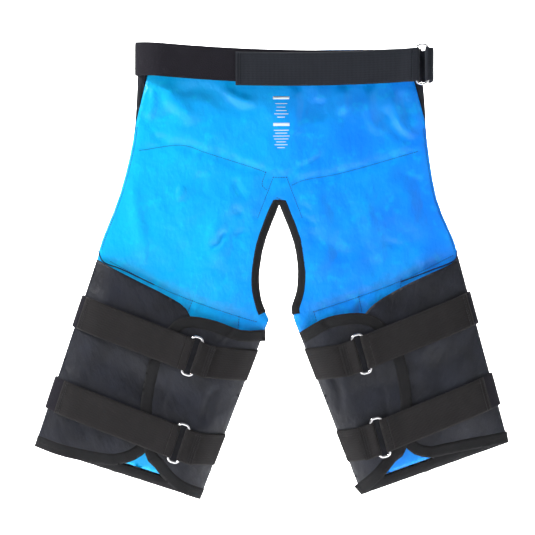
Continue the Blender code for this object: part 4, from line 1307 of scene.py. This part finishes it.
    def build_edgings(self) -> None:
        """Makes the tapes on both hems and along the edge between the legs, and the stitches on the tape between
        the legs.
        """
        lines = []
        for leg in LEGS:
            hem = self.cut.hem(leg)
            self.build_edging("hem_tape_" + leg.name, hem if leg.side > 0 else hem[::-1], CUT.hem_binding,
                              "hem_binding_" + leg.name)
        left, right = (self.cut.inner_edge(leg)[:20] for leg in LEGS)
        edge = np.vstack([left[::-1], right[1:]])
        self.build_edging("inseam_tape", edge[1:-1], CUT.inseam_binding, "inseam_binding")
        path = even(edge[2:-2], 0.003)
        ahead = np.gradient(path, axis=0)
        ahead /= np.linalg.norm(ahead, axis=1)[:, None]
        near = path + np.stack([-ahead[:, 1], ahead[:, 0]], axis=1) * (CUT.inseam_binding - 0.0022)
        level = np.full(len(near), self.edge_middle - 0.0069)
        lines.append(np.stack([near[:, 0], level, near[:, 1]], axis=1))
        sewn = self.stitcher.sew("inseam_stitches", lines)
        place(sewn, "panel", "binding")

    def build_print(self) -> None:
        """Makes a plain printed block on the lining: bars in rows, with no words or marks of any maker."""
        rows = []
        bars = [(0.0, 0.0125, 0.0042), (0.0, 0.0090, 0.0010), (0.0, 0.0070, 0.0010)]
        z = -0.046
        for _, half, tall in bars:
            rows.append((-0.0045, z, half, tall))
            z -= tall + 0.0042
        for half in (0.0080, 0.0105, 0.0060):
            rows.append((-0.0045, z, half, 0.0011))
            z -= 0.0048
        z -= 0.0060
        rows.append((-0.0045, z, 0.0120, 0.0046))
        z -= 0.0085
        for half in (0.0112, 0.0090, 0.0120, 0.0105, 0.0075, 0.0100, 0.0060):
            rows.append((-0.0045, z, half, 0.0010))
            z -= 0.0043
        points, faces = [], []
        for x, height, half, tall in rows:
            columns = np.arange(x - half, x + half + 1e-6, 0.0016)
            upper = self.on_lining(np.stack([columns, np.full(len(columns), height + tall / 2)], axis=1))
            lower = self.on_lining(np.stack([columns, np.full(len(columns), height - tall / 2)], axis=1))
            first = len(points)
            count = len(columns)
            for lift in (-0.00012, 0.00020):
                points += [point + (0.0, lift, 0.0) for point in (*upper, *lower)]
            for k in range(count - 1):
                a, b, c, d = first + k, first + k + 1, first + count + k + 1, first + count + k
                faces += [(a, b, c, d), (d + 2 * count, c + 2 * count, b + 2 * count, a + 2 * count),
                          (a, a + 2 * count, b + 2 * count, b), (d, c, c + 2 * count, d + 2 * count)]
            for a, b in ((first, first + count), (first + count - 1, first + 2 * count - 1)):
                faces.append((a, b, b + 2 * count, a + 2 * count))
        made = make_object("care_print", np.array(points), faces, self.finishes.print)
        place(made, "panel", "lining")

    def build(self) -> None:
        """Makes the whole panel."""
        self.build_lining()
        self.build_edgings()
        self.build_print()
        for leg in LEGS:
            self.build_shell(leg)
            self.build_facing(leg)
            self.build_pad(leg)


def swell(made: bpy.types.Object, cap: float, voxel: float) -> None:
    """Puffs a closed piece up with a short pressure simulation and makes the result plain mesh.

    Args:
        made: The piece.
        cap: The furthest that any point may move.
        voxel: The size of the even mesh that it is simulated on.
    """
    scene = bpy.context.scene
    remesh = made.modifiers.new("even", "REMESH")
    remesh.mode = "VOXEL"
    remesh.voxel_size = voxel
    graph = bpy.context.evaluated_depsgraph_get()
    even_mesh = bpy.data.meshes.new_from_object(made.evaluated_get(graph), depsgraph=graph)
    made.modifiers.clear()
    made.data = even_mesh
    before = np.zeros(len(even_mesh.vertices) * 3)
    even_mesh.vertices.foreach_get("co", before)
    cloth = made.modifiers.new("air", "CLOTH")
    cloth.settings.use_pressure = True
    cloth.settings.uniform_pressure_force = 4.0
    cloth.settings.effector_weights.gravity = 0.0
    for number in range(1, 21):
        scene.frame_set(number)
    graph = bpy.context.evaluated_depsgraph_get()
    puffed = bpy.data.meshes.new_from_object(made.evaluated_get(graph), depsgraph=graph)
    made.modifiers.clear()
    after = np.zeros(len(puffed.vertices) * 3)
    puffed.vertices.foreach_get("co", after)
    move = (after - before).reshape(-1, 3)
    size = np.linalg.norm(move, axis=1)
    move *= np.minimum(1.0, cap / np.maximum(size, 1e-9))[:, None]
    puffed.vertices.foreach_set("co", (before.reshape(-1, 3) + move).ravel())
    made.data = puffed
    scene.frame_set(1)


# ---------------------------------------------------------------------------------------- leg closures
@dataclass
class LegClosure:
    """What closes behind one leg: two flaps with bound edges, and two straps with their rings."""

    leg: LegFrame
    finishes: Finishes
    stitcher: Stitcher
    spacing: float = 0.0042
    creases: tuple = (
        (((0.226, 0.172), (0.222, 0.140), (0.228, 0.106)), 0.0042, 0.0045),
        (((0.238, 0.172), (0.236, 0.140), (0.240, 0.106)), -0.0012, 0.0050),
        (((0.226, 0.262), (0.218, 0.246), (0.206, 0.228)), 0.0030, 0.0050),
        (((0.168, 0.060), (0.160, 0.120), (0.163, 0.172)), 0.0022, 0.0045),
    )

    def seam_distance(self, x: Array, z: Array, inner: bool) -> Array:
        """Returns each place's distance from a flap's own seam."""
        leg = self.leg
        if not inner:
            return leg.local(x, z)[0]
        run = np.array((leg.inner_skew, 1.0)) / math.hypot(leg.inner_skew, 1.0)
        along = leg.across * run[0] + leg.up * run[1]
        square = np.array((-along[1], along[0])) * leg.side
        start = leg.point(*leg.hem_inner)
        return (x - start[0]) * square[0] + (z - start[1]) * square[1]

    def outer_face(self, x: Array, z: Array, inner: bool) -> Array:
        """Returns the depth of a flap's outer face, with its folds."""
        leg = self.leg
        full = CUT.medial_outer if inner else CUT.lateral_outer
        depth = leg.bend(self.seam_distance(x, z, inner), full) + leg.sag(x, z)
        if inner:
            for line, height, width in self.creases:
                crease = Fold(tuple(tuple(leg.point(*place)) for place in line), height, width)
                depth = depth + crease.lift(x, z)
        return depth

    def build_flap(self, inner: bool) -> None:
        """Makes one flap and the tape on its free edges."""
        leg = self.leg
        word = "medial" if inner else "lateral"
        node = f"{leg.name}_{word}_flap"
        loop = node_outline(node)
        cloth = Fill(inset(resample(loop, 0.006, closed=True), 0.0006), self.spacing)
        outer = self.outer_face(cloth.x, cloth.z, inner)
        made = cloth.shell(node + "_cloth", outer, outer + 0.0010, self.finishes.flaps[leg.name])
        place(made, node, "nylon", node)
        tape_loop = node_outline(node + "_binding")
        tape = Fill(resample(tape_loop, 0.0030, closed=True), 0.0030)
        closed = np.vstack([tape_loop, tape_loop[:1]])
        half = len(tape_loop) // 2
        away, along = nearest(tape.x, tape.z, closed[:half])
        rim = roll(distance(tape.x, tape.z, closed), 0.0014)
        middle = self.outer_face(tape.x, tape.z, inner) + 0.0003
        wave = np.array([noise.noise((a / 0.011, b / 0.02, 2.0)) for a, b in zip(along, away)]) * 0.00025
        thick = 0.0014 * (0.30 + 0.70 * rim)
        made = tape.shell(node + "_tape", middle - thick + wave, middle + thick * 0.9, self.finishes.binding,
                          np.stack([along, away], axis=1))
        place(made, node, "binding", node + "_binding")

    def strap_route(self, which: str, end: float) -> Array:
        """Returns a strap's (s, y) line from the shell's front, round the outer edge, to s = end."""
        leg = self.leg
        lift = (CUT.clear + CUT.webbing_thick / 2) * 1.15
        seam_s = np.linspace(0.0, CUT.flap_bend, 22)
        lying = offset(np.stack([seam_s, leg.bend(seam_s, CUT.lateral_outer)], axis=1), lift)
        front_s = np.linspace(0.042, 0.002, 18)
        front_y = self.free_front(front_s) + 0.0016
        around = spline([(front_s[-1], front_y[-1]), (-0.0026, 0.0118), (-0.0022, 0.0085), lying[1]], 5)
        climb_s = np.linspace(CUT.flap_bend, CUT.flap_bend + 0.055, 16)[1:]
        share = (climb_s - CUT.flap_bend) / 0.055
        climb_y = lying[-1][1] + (CUT.strap_level - lying[-1][1]) * share**2 * (3 - 2 * share)
        route = np.vstack([np.stack([front_s, front_y], axis=1), around[1:], lying[2:],
                           np.stack([climb_s, climb_y], axis=1), [(end, CUT.strap_level)]])
        return even(route, 0.0024)

    @staticmethod
    def free_front(s: Array) -> Array:
        """Returns the shell's front near a free edge."""
        return 0.0114 + (CUT.shell_front - 0.0004 - 0.0114) * roll(s, 0.0115)

    def to_world(self, which: str, route: Array, skews: Array | None = None) -> tuple[Array, Array]:
        """Turns an (s, y) route into world points and the directions across the band.

        Args:
            which: The strap that the route belongs to.
            route: The route's places.
            skews: How far each place leans, on an anchor, or None on a strap.

        Returns:
            The points and the directions.
        """
        leg = self.leg
        centre = leg.centre if skews is None else leg.anchor_centre
        points = np.array([leg.world(s, centre(which, s), y) for s, y in route])
        up = np.array((leg.up[0], 0.0, leg.up[1]))
        sides = np.tile(up, (len(route), 1))
        if skews is not None:
            across = np.array((leg.across[0], 0.0, leg.across[1]))
            sides = sides + across[None, :] * skews[:, None]
        return points, sides

    def build_strap(self, which: str) -> None:
        """Makes a strap, its return, hook tab, ring, turn and anchor."""
        leg, cut = self.leg, self.leg.straps[which]
        name = f"{leg.name}_{which}_"
        bar = cut.ring - CUT.ring_half
        end = bar - CUT.turn_reach
        webbing = self.finishes.webbing
        route = self.strap_route(which, end - 0.0001)
        points, sides = self.to_world(which, route)
        made = Band(name + "strap_webbing", self.finishes.loop).build(points, sides)
        first = leg.world(-0.0024, leg.centre(which, 0.0), 0.0115)
        last = leg.world(0.0022, leg.centre(which, 0.0), 0.0050)
        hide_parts(name + "strap")
        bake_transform(made)
        LOG.info("%s: %d faces", made.name, len(made.data.polygons))
        self.build_return(which, route, end)
        level = CUT.strap_level
        turn = np.vstack([[(end + 0.0001, level)], arc((bar, level - CUT.ring_lift), CUT.ring_lift, 90, -90),
                          [(end + 0.0001, level - 2 * CUT.ring_lift)]])
        points, sides = self.to_world(which, even(turn, 0.0012))
        made = Band(name + "turn_webbing", webbing, ripple=0.0).build(points, sides, start=0.3)
        place(made, name + "ring", "webbing", name + "turn")
        self.build_anchor(which)
        centre = leg.world(cut.ring, leg.centre(which, cut.ring), level - CUT.ring_lift)
        across = np.array((leg.across[0], 0.0, leg.across[1]))
        up = np.array((leg.up[0], 0.0, leg.up[1]))
        made = build_ring(name + "ring_wire", centre, across, up, self.finishes.steel)
        place(made, name + "ring", "ring_steel", name + "ring")

    def build_return(self, which: str, route: Array, end: float) -> None:
        """Makes the run that comes back over a strap, its sewn free end and the hook tab under it."""
        cut = self.leg.straps[which]
        name = f"{self.leg.name}_{which}_"
        lying = route[np.argmax(route[:, 1] < 0.004):]
        over = offset(lying, CUT.return_lift)
        over = over[(over[:, 0] > cut.free_end) & (over[:, 0] < end - 0.024)]
        high = CUT.strap_level - 2 * CUT.ring_lift
        rise_s = np.linspace(end - 0.022, end, 10)
        share = (rise_s - rise_s[0]) / (end - rise_s[0])
        rise_y = over[-1][1] + (high - over[-1][1]) * share**2 * (3 - 2 * share)
        back = even(np.vstack([over, np.stack([rise_s, rise_y], axis=1)]), 0.0024)
        points, sides = self.to_world(which, back)
        band = Band(name + "return_webbing", self.finishes.webbing, ripple=0.0002)
        made = band.build(points, sides, start=0.6)
        place(made, name + "return", "webbing", name + "return")
        tab = offset(lying, CUT.webbing_thick / 2 + CUT.clear + CUT.hook_thick / 2)
        tab = tab[(tab[:, 0] > cut.free_end + 0.002) & (tab[:, 0] < cut.free_end + 0.060)]
        points, sides = self.to_world(which, even(tab, 0.0030))
        made = Band(name + "hook_tab_face", self.finishes.hook, width=CUT.webbing_width - 0.003,
                    thick=CUT.hook_thick, ripple=0.0).build(points, sides)
        place(made, name + "return", "hook_tape", name + "hook_tab")
        rows = []
        for ahead in (0.004, 0.007):
            index = int(np.argmin(np.abs(back[:, 0] - cut.free_end - ahead)))
            s, y = back[index]
            rows.append(self.cross_row(which, s, y - CUT.webbing_thick / 2 - 0.00045))
        sewn = self.stitcher.sew(name + "return_stitches", rows)
        place(sewn, name + "return", "webbing")

    def cross_row(self, which: str, s: float, y: float, reach: float = 0.0215) -> Array:
        """Returns a line across a strap at s."""
        leg = self.leg
        centre = leg.centre(which, s)
        return np.array([leg.world(s, centre + rise, y) for rise in np.linspace(-reach, reach, 30)])

    def build_anchor(self, which: str) -> None:
        """Makes the loop that holds a ring to the inner flap, with its rows of zigzag thread."""
        leg, cut = self.leg, self.leg.straps[which]
        name = f"{leg.name}_{which}_"
        bar = cut.ring + CUT.ring_half
        level = CUT.strap_level
        inner = leg.inner_s(leg.anchor_centre(which, leg.hem_inner[0]))
        lift = (CUT.clear + CUT.webbing_thick / 2) * 1.15
        share = np.linspace(1.0, 0.0, 20)
        away = CUT.flap_bend * share
        seam = np.stack([inner - away, leg.bend(away, CUT.medial_outer)], axis=1)
        lying = offset(seam, lift)
        over = level - CUT.webbing_thick - CUT.clear
        rest = lying[lying[:, 0] > bar + 0.016]
        overlap = [(bar + 0.022, over), (bar + 0.012, over - 0.0002), (bar + CUT.turn_reach, over - 0.0012)]
        loop = np.vstack([spline(overlap, 4),
                          arc((bar, level - CUT.ring_lift), CUT.ring_lift, 262, 90),
                          [(bar + 0.009, level)], rest])
        loop = even(loop, 0.0020)
        skews = np.zeros(len(loop))
        past = int(np.argmax(loop[:, 1] > level - 0.0001))
        fade = np.clip((loop[:, 0] - bar - 0.004) / 0.012, 0.0, 1.0)
        skews[past:] = leg.inner_skew * fade[past:]
        points, sides = self.to_world(which, loop, skews)
        band = Band(name + "anchor_webbing", self.finishes.webbing, ripple=0.0001)
        made = band.build(points, sides, start=0.9)
        place(made, f"{leg.name}_medial_flap", "webbing", name + "ring_anchor")
        rows = []
        for s in (bar + 0.0125, bar + 0.0160, bar + 0.0195):
            line = self.cross_row(which, s, over - CUT.webbing_thick / 2 - 0.0002)
            across = np.array((leg.across[0], 0.0, leg.across[1]))
            zigzag = np.where(np.arange(len(line)) % 2 == 0, 0.0011, -0.0011)
            rows.append(line + across[None, :] * zigzag[:, None])
        sewn = self.stitcher.sew(name + "anchor_stitches", rows, Seam.CORD, radius=0.00028)
        place(sewn, f"{leg.name}_medial_flap", "webbing")

    def build(self) -> None:
        """Makes the closure."""
        for inner in (False, True):
            self.build_flap(inner)
        for which in self.leg.straps:
            self.build_strap(which)


def build_ring(name: str, centre: Array, along: Array, across: Array, finish: Any) -> bpy.types.Object:
    """Makes a wire ring, long across the webbing, of even round wire."""
    half_long = (CUT.ring_length - CUT.ring_wire) / 2
    flat_a, flat_b = CUT.ring_half - CUT.ring_corner, half_long - CUT.ring_corner
    route = np.vstack([
        arc((a * flat_a, b * flat_b), CUT.ring_corner, 90 * k, 90 * k + 90, 12)
        for k, (a, b) in enumerate(((1, 1), (-1, 1), (-1, -1), (1, -1)))])
    route = resample(route, 0.002, closed=True)
    count, sides = len(route), 20
    ahead = np.roll(route, -1, axis=0) - np.roll(route, 1, axis=0)
    ahead /= np.linalg.norm(ahead, axis=1)[:, None]
    out = np.stack([ahead[:, 1], -ahead[:, 0]], axis=1)
    up = np.cross(along, across)
    points = []
    for here, away in zip(route, out):
        for turn in np.arange(sides) * 2 * math.pi / sides:
            flat = here + away * math.cos(turn) * CUT.ring_wire / 2
            lift = up * math.sin(turn) * CUT.ring_wire / 2
            points.append(centre + along * flat[0] + across * flat[1] + lift)
    faces = []
    for k in range(count):
        for c in range(sides):
            a, b = k * sides, (k + 1) % count * sides
            faces.append((a + c, a + (c + 1) % sides, b + (c + 1) % sides, b + c))
    return make_object(name, np.array(points), faces, finish)


# ---------------------------------------------------------------------------------------- belt
@dataclass
class Belt:
    """The waistband on the shell, and the belt that closes behind it through a ring."""

    finishes: Finishes
    stitcher: Stitcher
    ends: tuple = (-0.2185, 0.2185)
    depth: float = -0.0125
    lifts: tuple = (0.0120, -0.0020, 0.0020)
    ring_x: float = 0.2010
    return_end: float = -0.0735
    bend: float = 0.040
    front: float = 0.0223
    drop: float = 0.0060

    def centre(self, x: Any) -> Any:
        """Returns the height of the belt's middle line at x."""
        left, middle, right = self.lifts
        share = x / self.ends[1]
        bow = (left + right) / 2 - middle
        return middle + (right - left) / 2 * share + bow * share * share

    def to_world(self, route: Array, drop: float) -> tuple[Array, Array]:
        """Turns an (x, y) route into world points and the directions across the belt."""
        lower = drop * (self.ring_x - route[:, 0]) / (self.ring_x - self.return_end)
        points = np.stack([route[:, 0], route[:, 1], self.centre(route[:, 0]) - lower], axis=1)
        return points, np.tile(np.array((0.0, 0.0, 1.0)), (len(route), 1))

    def band(self, name: str, route: Array, finish: Any, start: float = 0.0, drop: float = 0.0,
             **sizes: float) -> bpy.types.Object:
        """Makes a band of the belt.

        Args:
            name: The piece's name.
            route: Its (x, y) places.
            finish: The material.
            start: The cloth's length before its first place.
            drop: How much lower it hangs at the return's free end.
            sizes: Sizes of the band that aren't the usual ones.

        Returns:
            The object.
        """
        points, sides = self.to_world(route, drop)
        return Band(name, finish, **sizes).build(points, sides, start)

    def row(self, x: float, y: float) -> Array:
        """Returns a line across the belt at x."""
        return np.array([(x, y, self.centre(x) + rise) for rise in np.linspace(-0.0215, 0.0215, 30)])

    def build(self) -> None:
        """Makes the belt's pieces."""
        edge = CUT.lining_back - CUT.clear - CUT.webbing_thick / 2
        bar = self.ring_x - CUT.ring_half
        end = bar - CUT.turn_reach
        left = self.ends[0]
        flat = np.array([(left + 0.010, self.front), (self.ring_x - 0.0125, self.front)])
        made = self.band("waistband_webbing", even(flat, 0.004), self.finishes.belt, ripple=0.0)
        place(made, "panel", "webbing", "waistband")
        share = np.linspace(0.0, 1.0, 22)
        depths = self.depth + (edge - self.depth) * (1 - share) ** 2
        curve = np.stack([left + self.bend * share, depths], axis=1)
        around = spline([(left + 0.0100, self.front), (left + 0.0030, self.front - 0.0006),
                         (left - 0.0016, 0.0165),
                         (left - 0.0010, 0.0110), tuple(curve[1])], 6)
        route = even(np.vstack([around, curve[2:], [(end - 0.0001, self.depth)]]), 0.0024)
        made = self.band("belt_loop_band", route, self.finishes.loop)
        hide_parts("belt_strap")
        left + 0.0016
        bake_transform(made)
        LOG.info("%s: %d faces", made.name, len(made.data.polygons))
        lying = route[np.argmax(route[:, 1] < -0.004):]
        over = offset(lying, CUT.return_lift)
        over = over[(over[:, 0] > self.return_end) & (over[:, 0] < end - 0.024)]
        high = self.depth - 2 * CUT.ring_lift
        rise_x = np.linspace(end - 0.022, end, 10)
        part = (rise_x - rise_x[0]) / (end - rise_x[0])
        rise_y = over[-1][1] + (high - over[-1][1]) * part**2 * (3 - 2 * part)
        back = even(np.vstack([over, np.stack([rise_x, rise_y], axis=1)]), 0.0024)
        made = self.band("belt_return_webbing", back, self.finishes.belt, 0.6, self.drop)
        place(made, "belt_return", "webbing", "belt_return")
        tab = offset(lying, CUT.webbing_thick / 2 + CUT.clear + CUT.hook_thick / 2)
        tab = tab[(tab[:, 0] > self.return_end + 0.002) & (tab[:, 0] < self.return_end + 0.130)]
        made = self.band("belt_hook_tab_face", even(tab, 0.003), self.finishes.hook, drop=self.drop,
                         width=CUT.webbing_width - 0.003, thick=CUT.hook_thick, ripple=0.0)
        place(made, "belt_return", "hook_tape", "belt_hook_tab")
        face = over[0][1] - CUT.webbing_thick / 2 - 0.00045
        rows = [self.row(self.return_end + away, face) - (0.0, 0.0, self.drop) for away in (0.004, 0.0075)]
        place(self.stitcher.sew("belt_return_stitches", rows), "belt_return", "webbing")
        turn = np.vstack([[(end + 0.0001, self.depth)],
                          arc((bar, self.depth - CUT.ring_lift), CUT.ring_lift, 90, -90), [(end + 0.0001, high)]])
        made = self.band("belt_turn_webbing", even(turn, 0.0012), self.finishes.belt, 0.3, ripple=0.0)
        place(made, "belt_ring", "webbing", "belt_turn")
        anchor_bar = self.ring_x + CUT.ring_half
        side = self.ends[1]
        loop = np.vstack([
            arc((anchor_bar, self.depth - CUT.ring_lift), CUT.ring_lift, 300, 90),
            spline([(side - 0.0050, self.depth + 0.0008), (side - 0.0005, self.depth + 0.0060), (side, 0.0050),
                    (side, 0.0165), (side - 0.0035, self.front - 0.0002), (self.ring_x - 0.010, self.front)], 8)])
        made = self.band("belt_anchor_webbing", even(loop, 0.0020), self.finishes.belt, 0.9, ripple=0.0)
        place(made, "panel", "webbing", "belt_ring_anchor")
        centre = np.array((self.ring_x, self.depth - CUT.ring_lift, self.centre(self.ring_x)))
        made = build_ring("belt_ring_wire", centre, np.array((1.0, 0.0, 0.0)), np.array((0.0, 0.0, 1.0)),
                          self.finishes.steel)
        place(made, "belt_ring", "ring_steel", "belt_ring")


# ---------------------------------------------------------------------------------------- studio
@dataclass
class Studio:
    """The pale stage, the soft lights and the camera."""

    middle: tuple = (-0.0250, 0.0, -0.2962)
    width: float = 0.7865
    lens: float = 110.0
    sensor: float = 36.0
    floor_gap: float = 0.16
    floor_front: float = -5.0
    floor_back: float = 1.6
    sweep: float = 1.8
    wall_top: float = 3.5
    half_stage: float = 5.0
    surround: float = 0.27

    def build_stage(self) -> None:
        """Makes a pale floor that curves up into a backdrop."""
        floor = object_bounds()[0].z - self.floor_gap
        profile = [(self.floor_front, floor), (self.floor_back, floor)]
        profile += [tuple(p) for p in arc((self.floor_back, floor + self.sweep), self.sweep, -90, 0, 32)]
        profile.append((self.floor_back + self.sweep, self.wall_top))
        points = [(x, y, z) for y, z in profile for x in (-self.half_stage, self.half_stage)]
        faces = [(2 * k, 2 * k + 1, 2 * k + 3, 2 * k + 2) for k in range(len(profile) - 1)]
        finish = Plain("pale_stage", (0.96, 0.96, 0.96), (0.98, 0.98, 0.98), 0.8, 0.3, 0.0).make()
        stage = make_object("stage", np.array(points), faces, finish)
        stage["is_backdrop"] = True

    def light(self, name: str, at: tuple, size: float, power: float, target: tuple | None = None) -> None:
        """Adds a square soft light.

        Args:
            name: Its name.
            at: Its place.
            size: Its side.
            power: Its power in watts.
            target: What it faces, or None for the middle of the chaps.
        """
        data = bpy.data.lights.new(name, "AREA")
        data.size = size
        data.energy = power
        lamp = bpy.data.objects.new(name, data)
        lamp.location = at
        aim = Vector(target or self.middle) - Vector(at)
        lamp.rotation_euler = aim.to_track_quat("-Z", "Y").to_euler()
        bpy.context.scene.collection.objects.link(lamp)

    def build(self) -> None:
        """Makes the stage, lights and camera."""
        self.build_stage()
        self.light("key", (-1.8, -0.62, 1.2), 0.5, 56.0)
        self.light("fill", (1.6, -1.5, 0.1), 1.4, 4.0)
        self.light("low", (0.2, -1.9, -1.3), 1.2, 1.5)
        self.light("backdrop", (0.0, 1.8, 2.3), 2.2, 330.0, (0.0, 3.3, -0.4))
        self.light("sweep", (0.0, 1.2, 1.5), 1.4, 110.0, (0.0, 1.9, -0.9))
        self.light("behind", (1.3, 1.6, 0.9), 0.8, 16.0)
        world = bpy.data.worlds.new("studio")
        world.use_nodes = True
        world.node_tree.nodes["Background"].inputs[0].default_value = (1.0, 1.0, 1.0, 1.0)
        world.node_tree.nodes["Background"].inputs[1].default_value = self.surround
        bpy.context.scene.world = world
        bpy.context.scene.view_settings.view_transform = "Standard"
        data = bpy.data.cameras.new("camera")
        data.lens = self.lens
        data.sensor_width = self.sensor
        camera = bpy.data.objects.new("camera", data)
        away = self.width * self.lens / self.sensor
        camera.location = (self.middle[0], self.middle[1] - away, self.middle[2])
        camera.rotation_euler = (math.radians(90), 0.0, 0.0)
        bpy.context.scene.collection.objects.link(camera)
        bpy.context.scene.camera = camera


def main() -> None:
    """Builds the chaps and the studio."""
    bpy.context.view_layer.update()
    finishes = Finishes()
    stitcher = Stitcher(finishes.thread)
    Panel(finishes, stitcher).build()
    Belt(finishes, stitcher).build()
    for leg in LEGS:
        LegClosure(leg, finishes, stitcher).build()
    Studio().build()


if __name__ == "__main__":
    main()
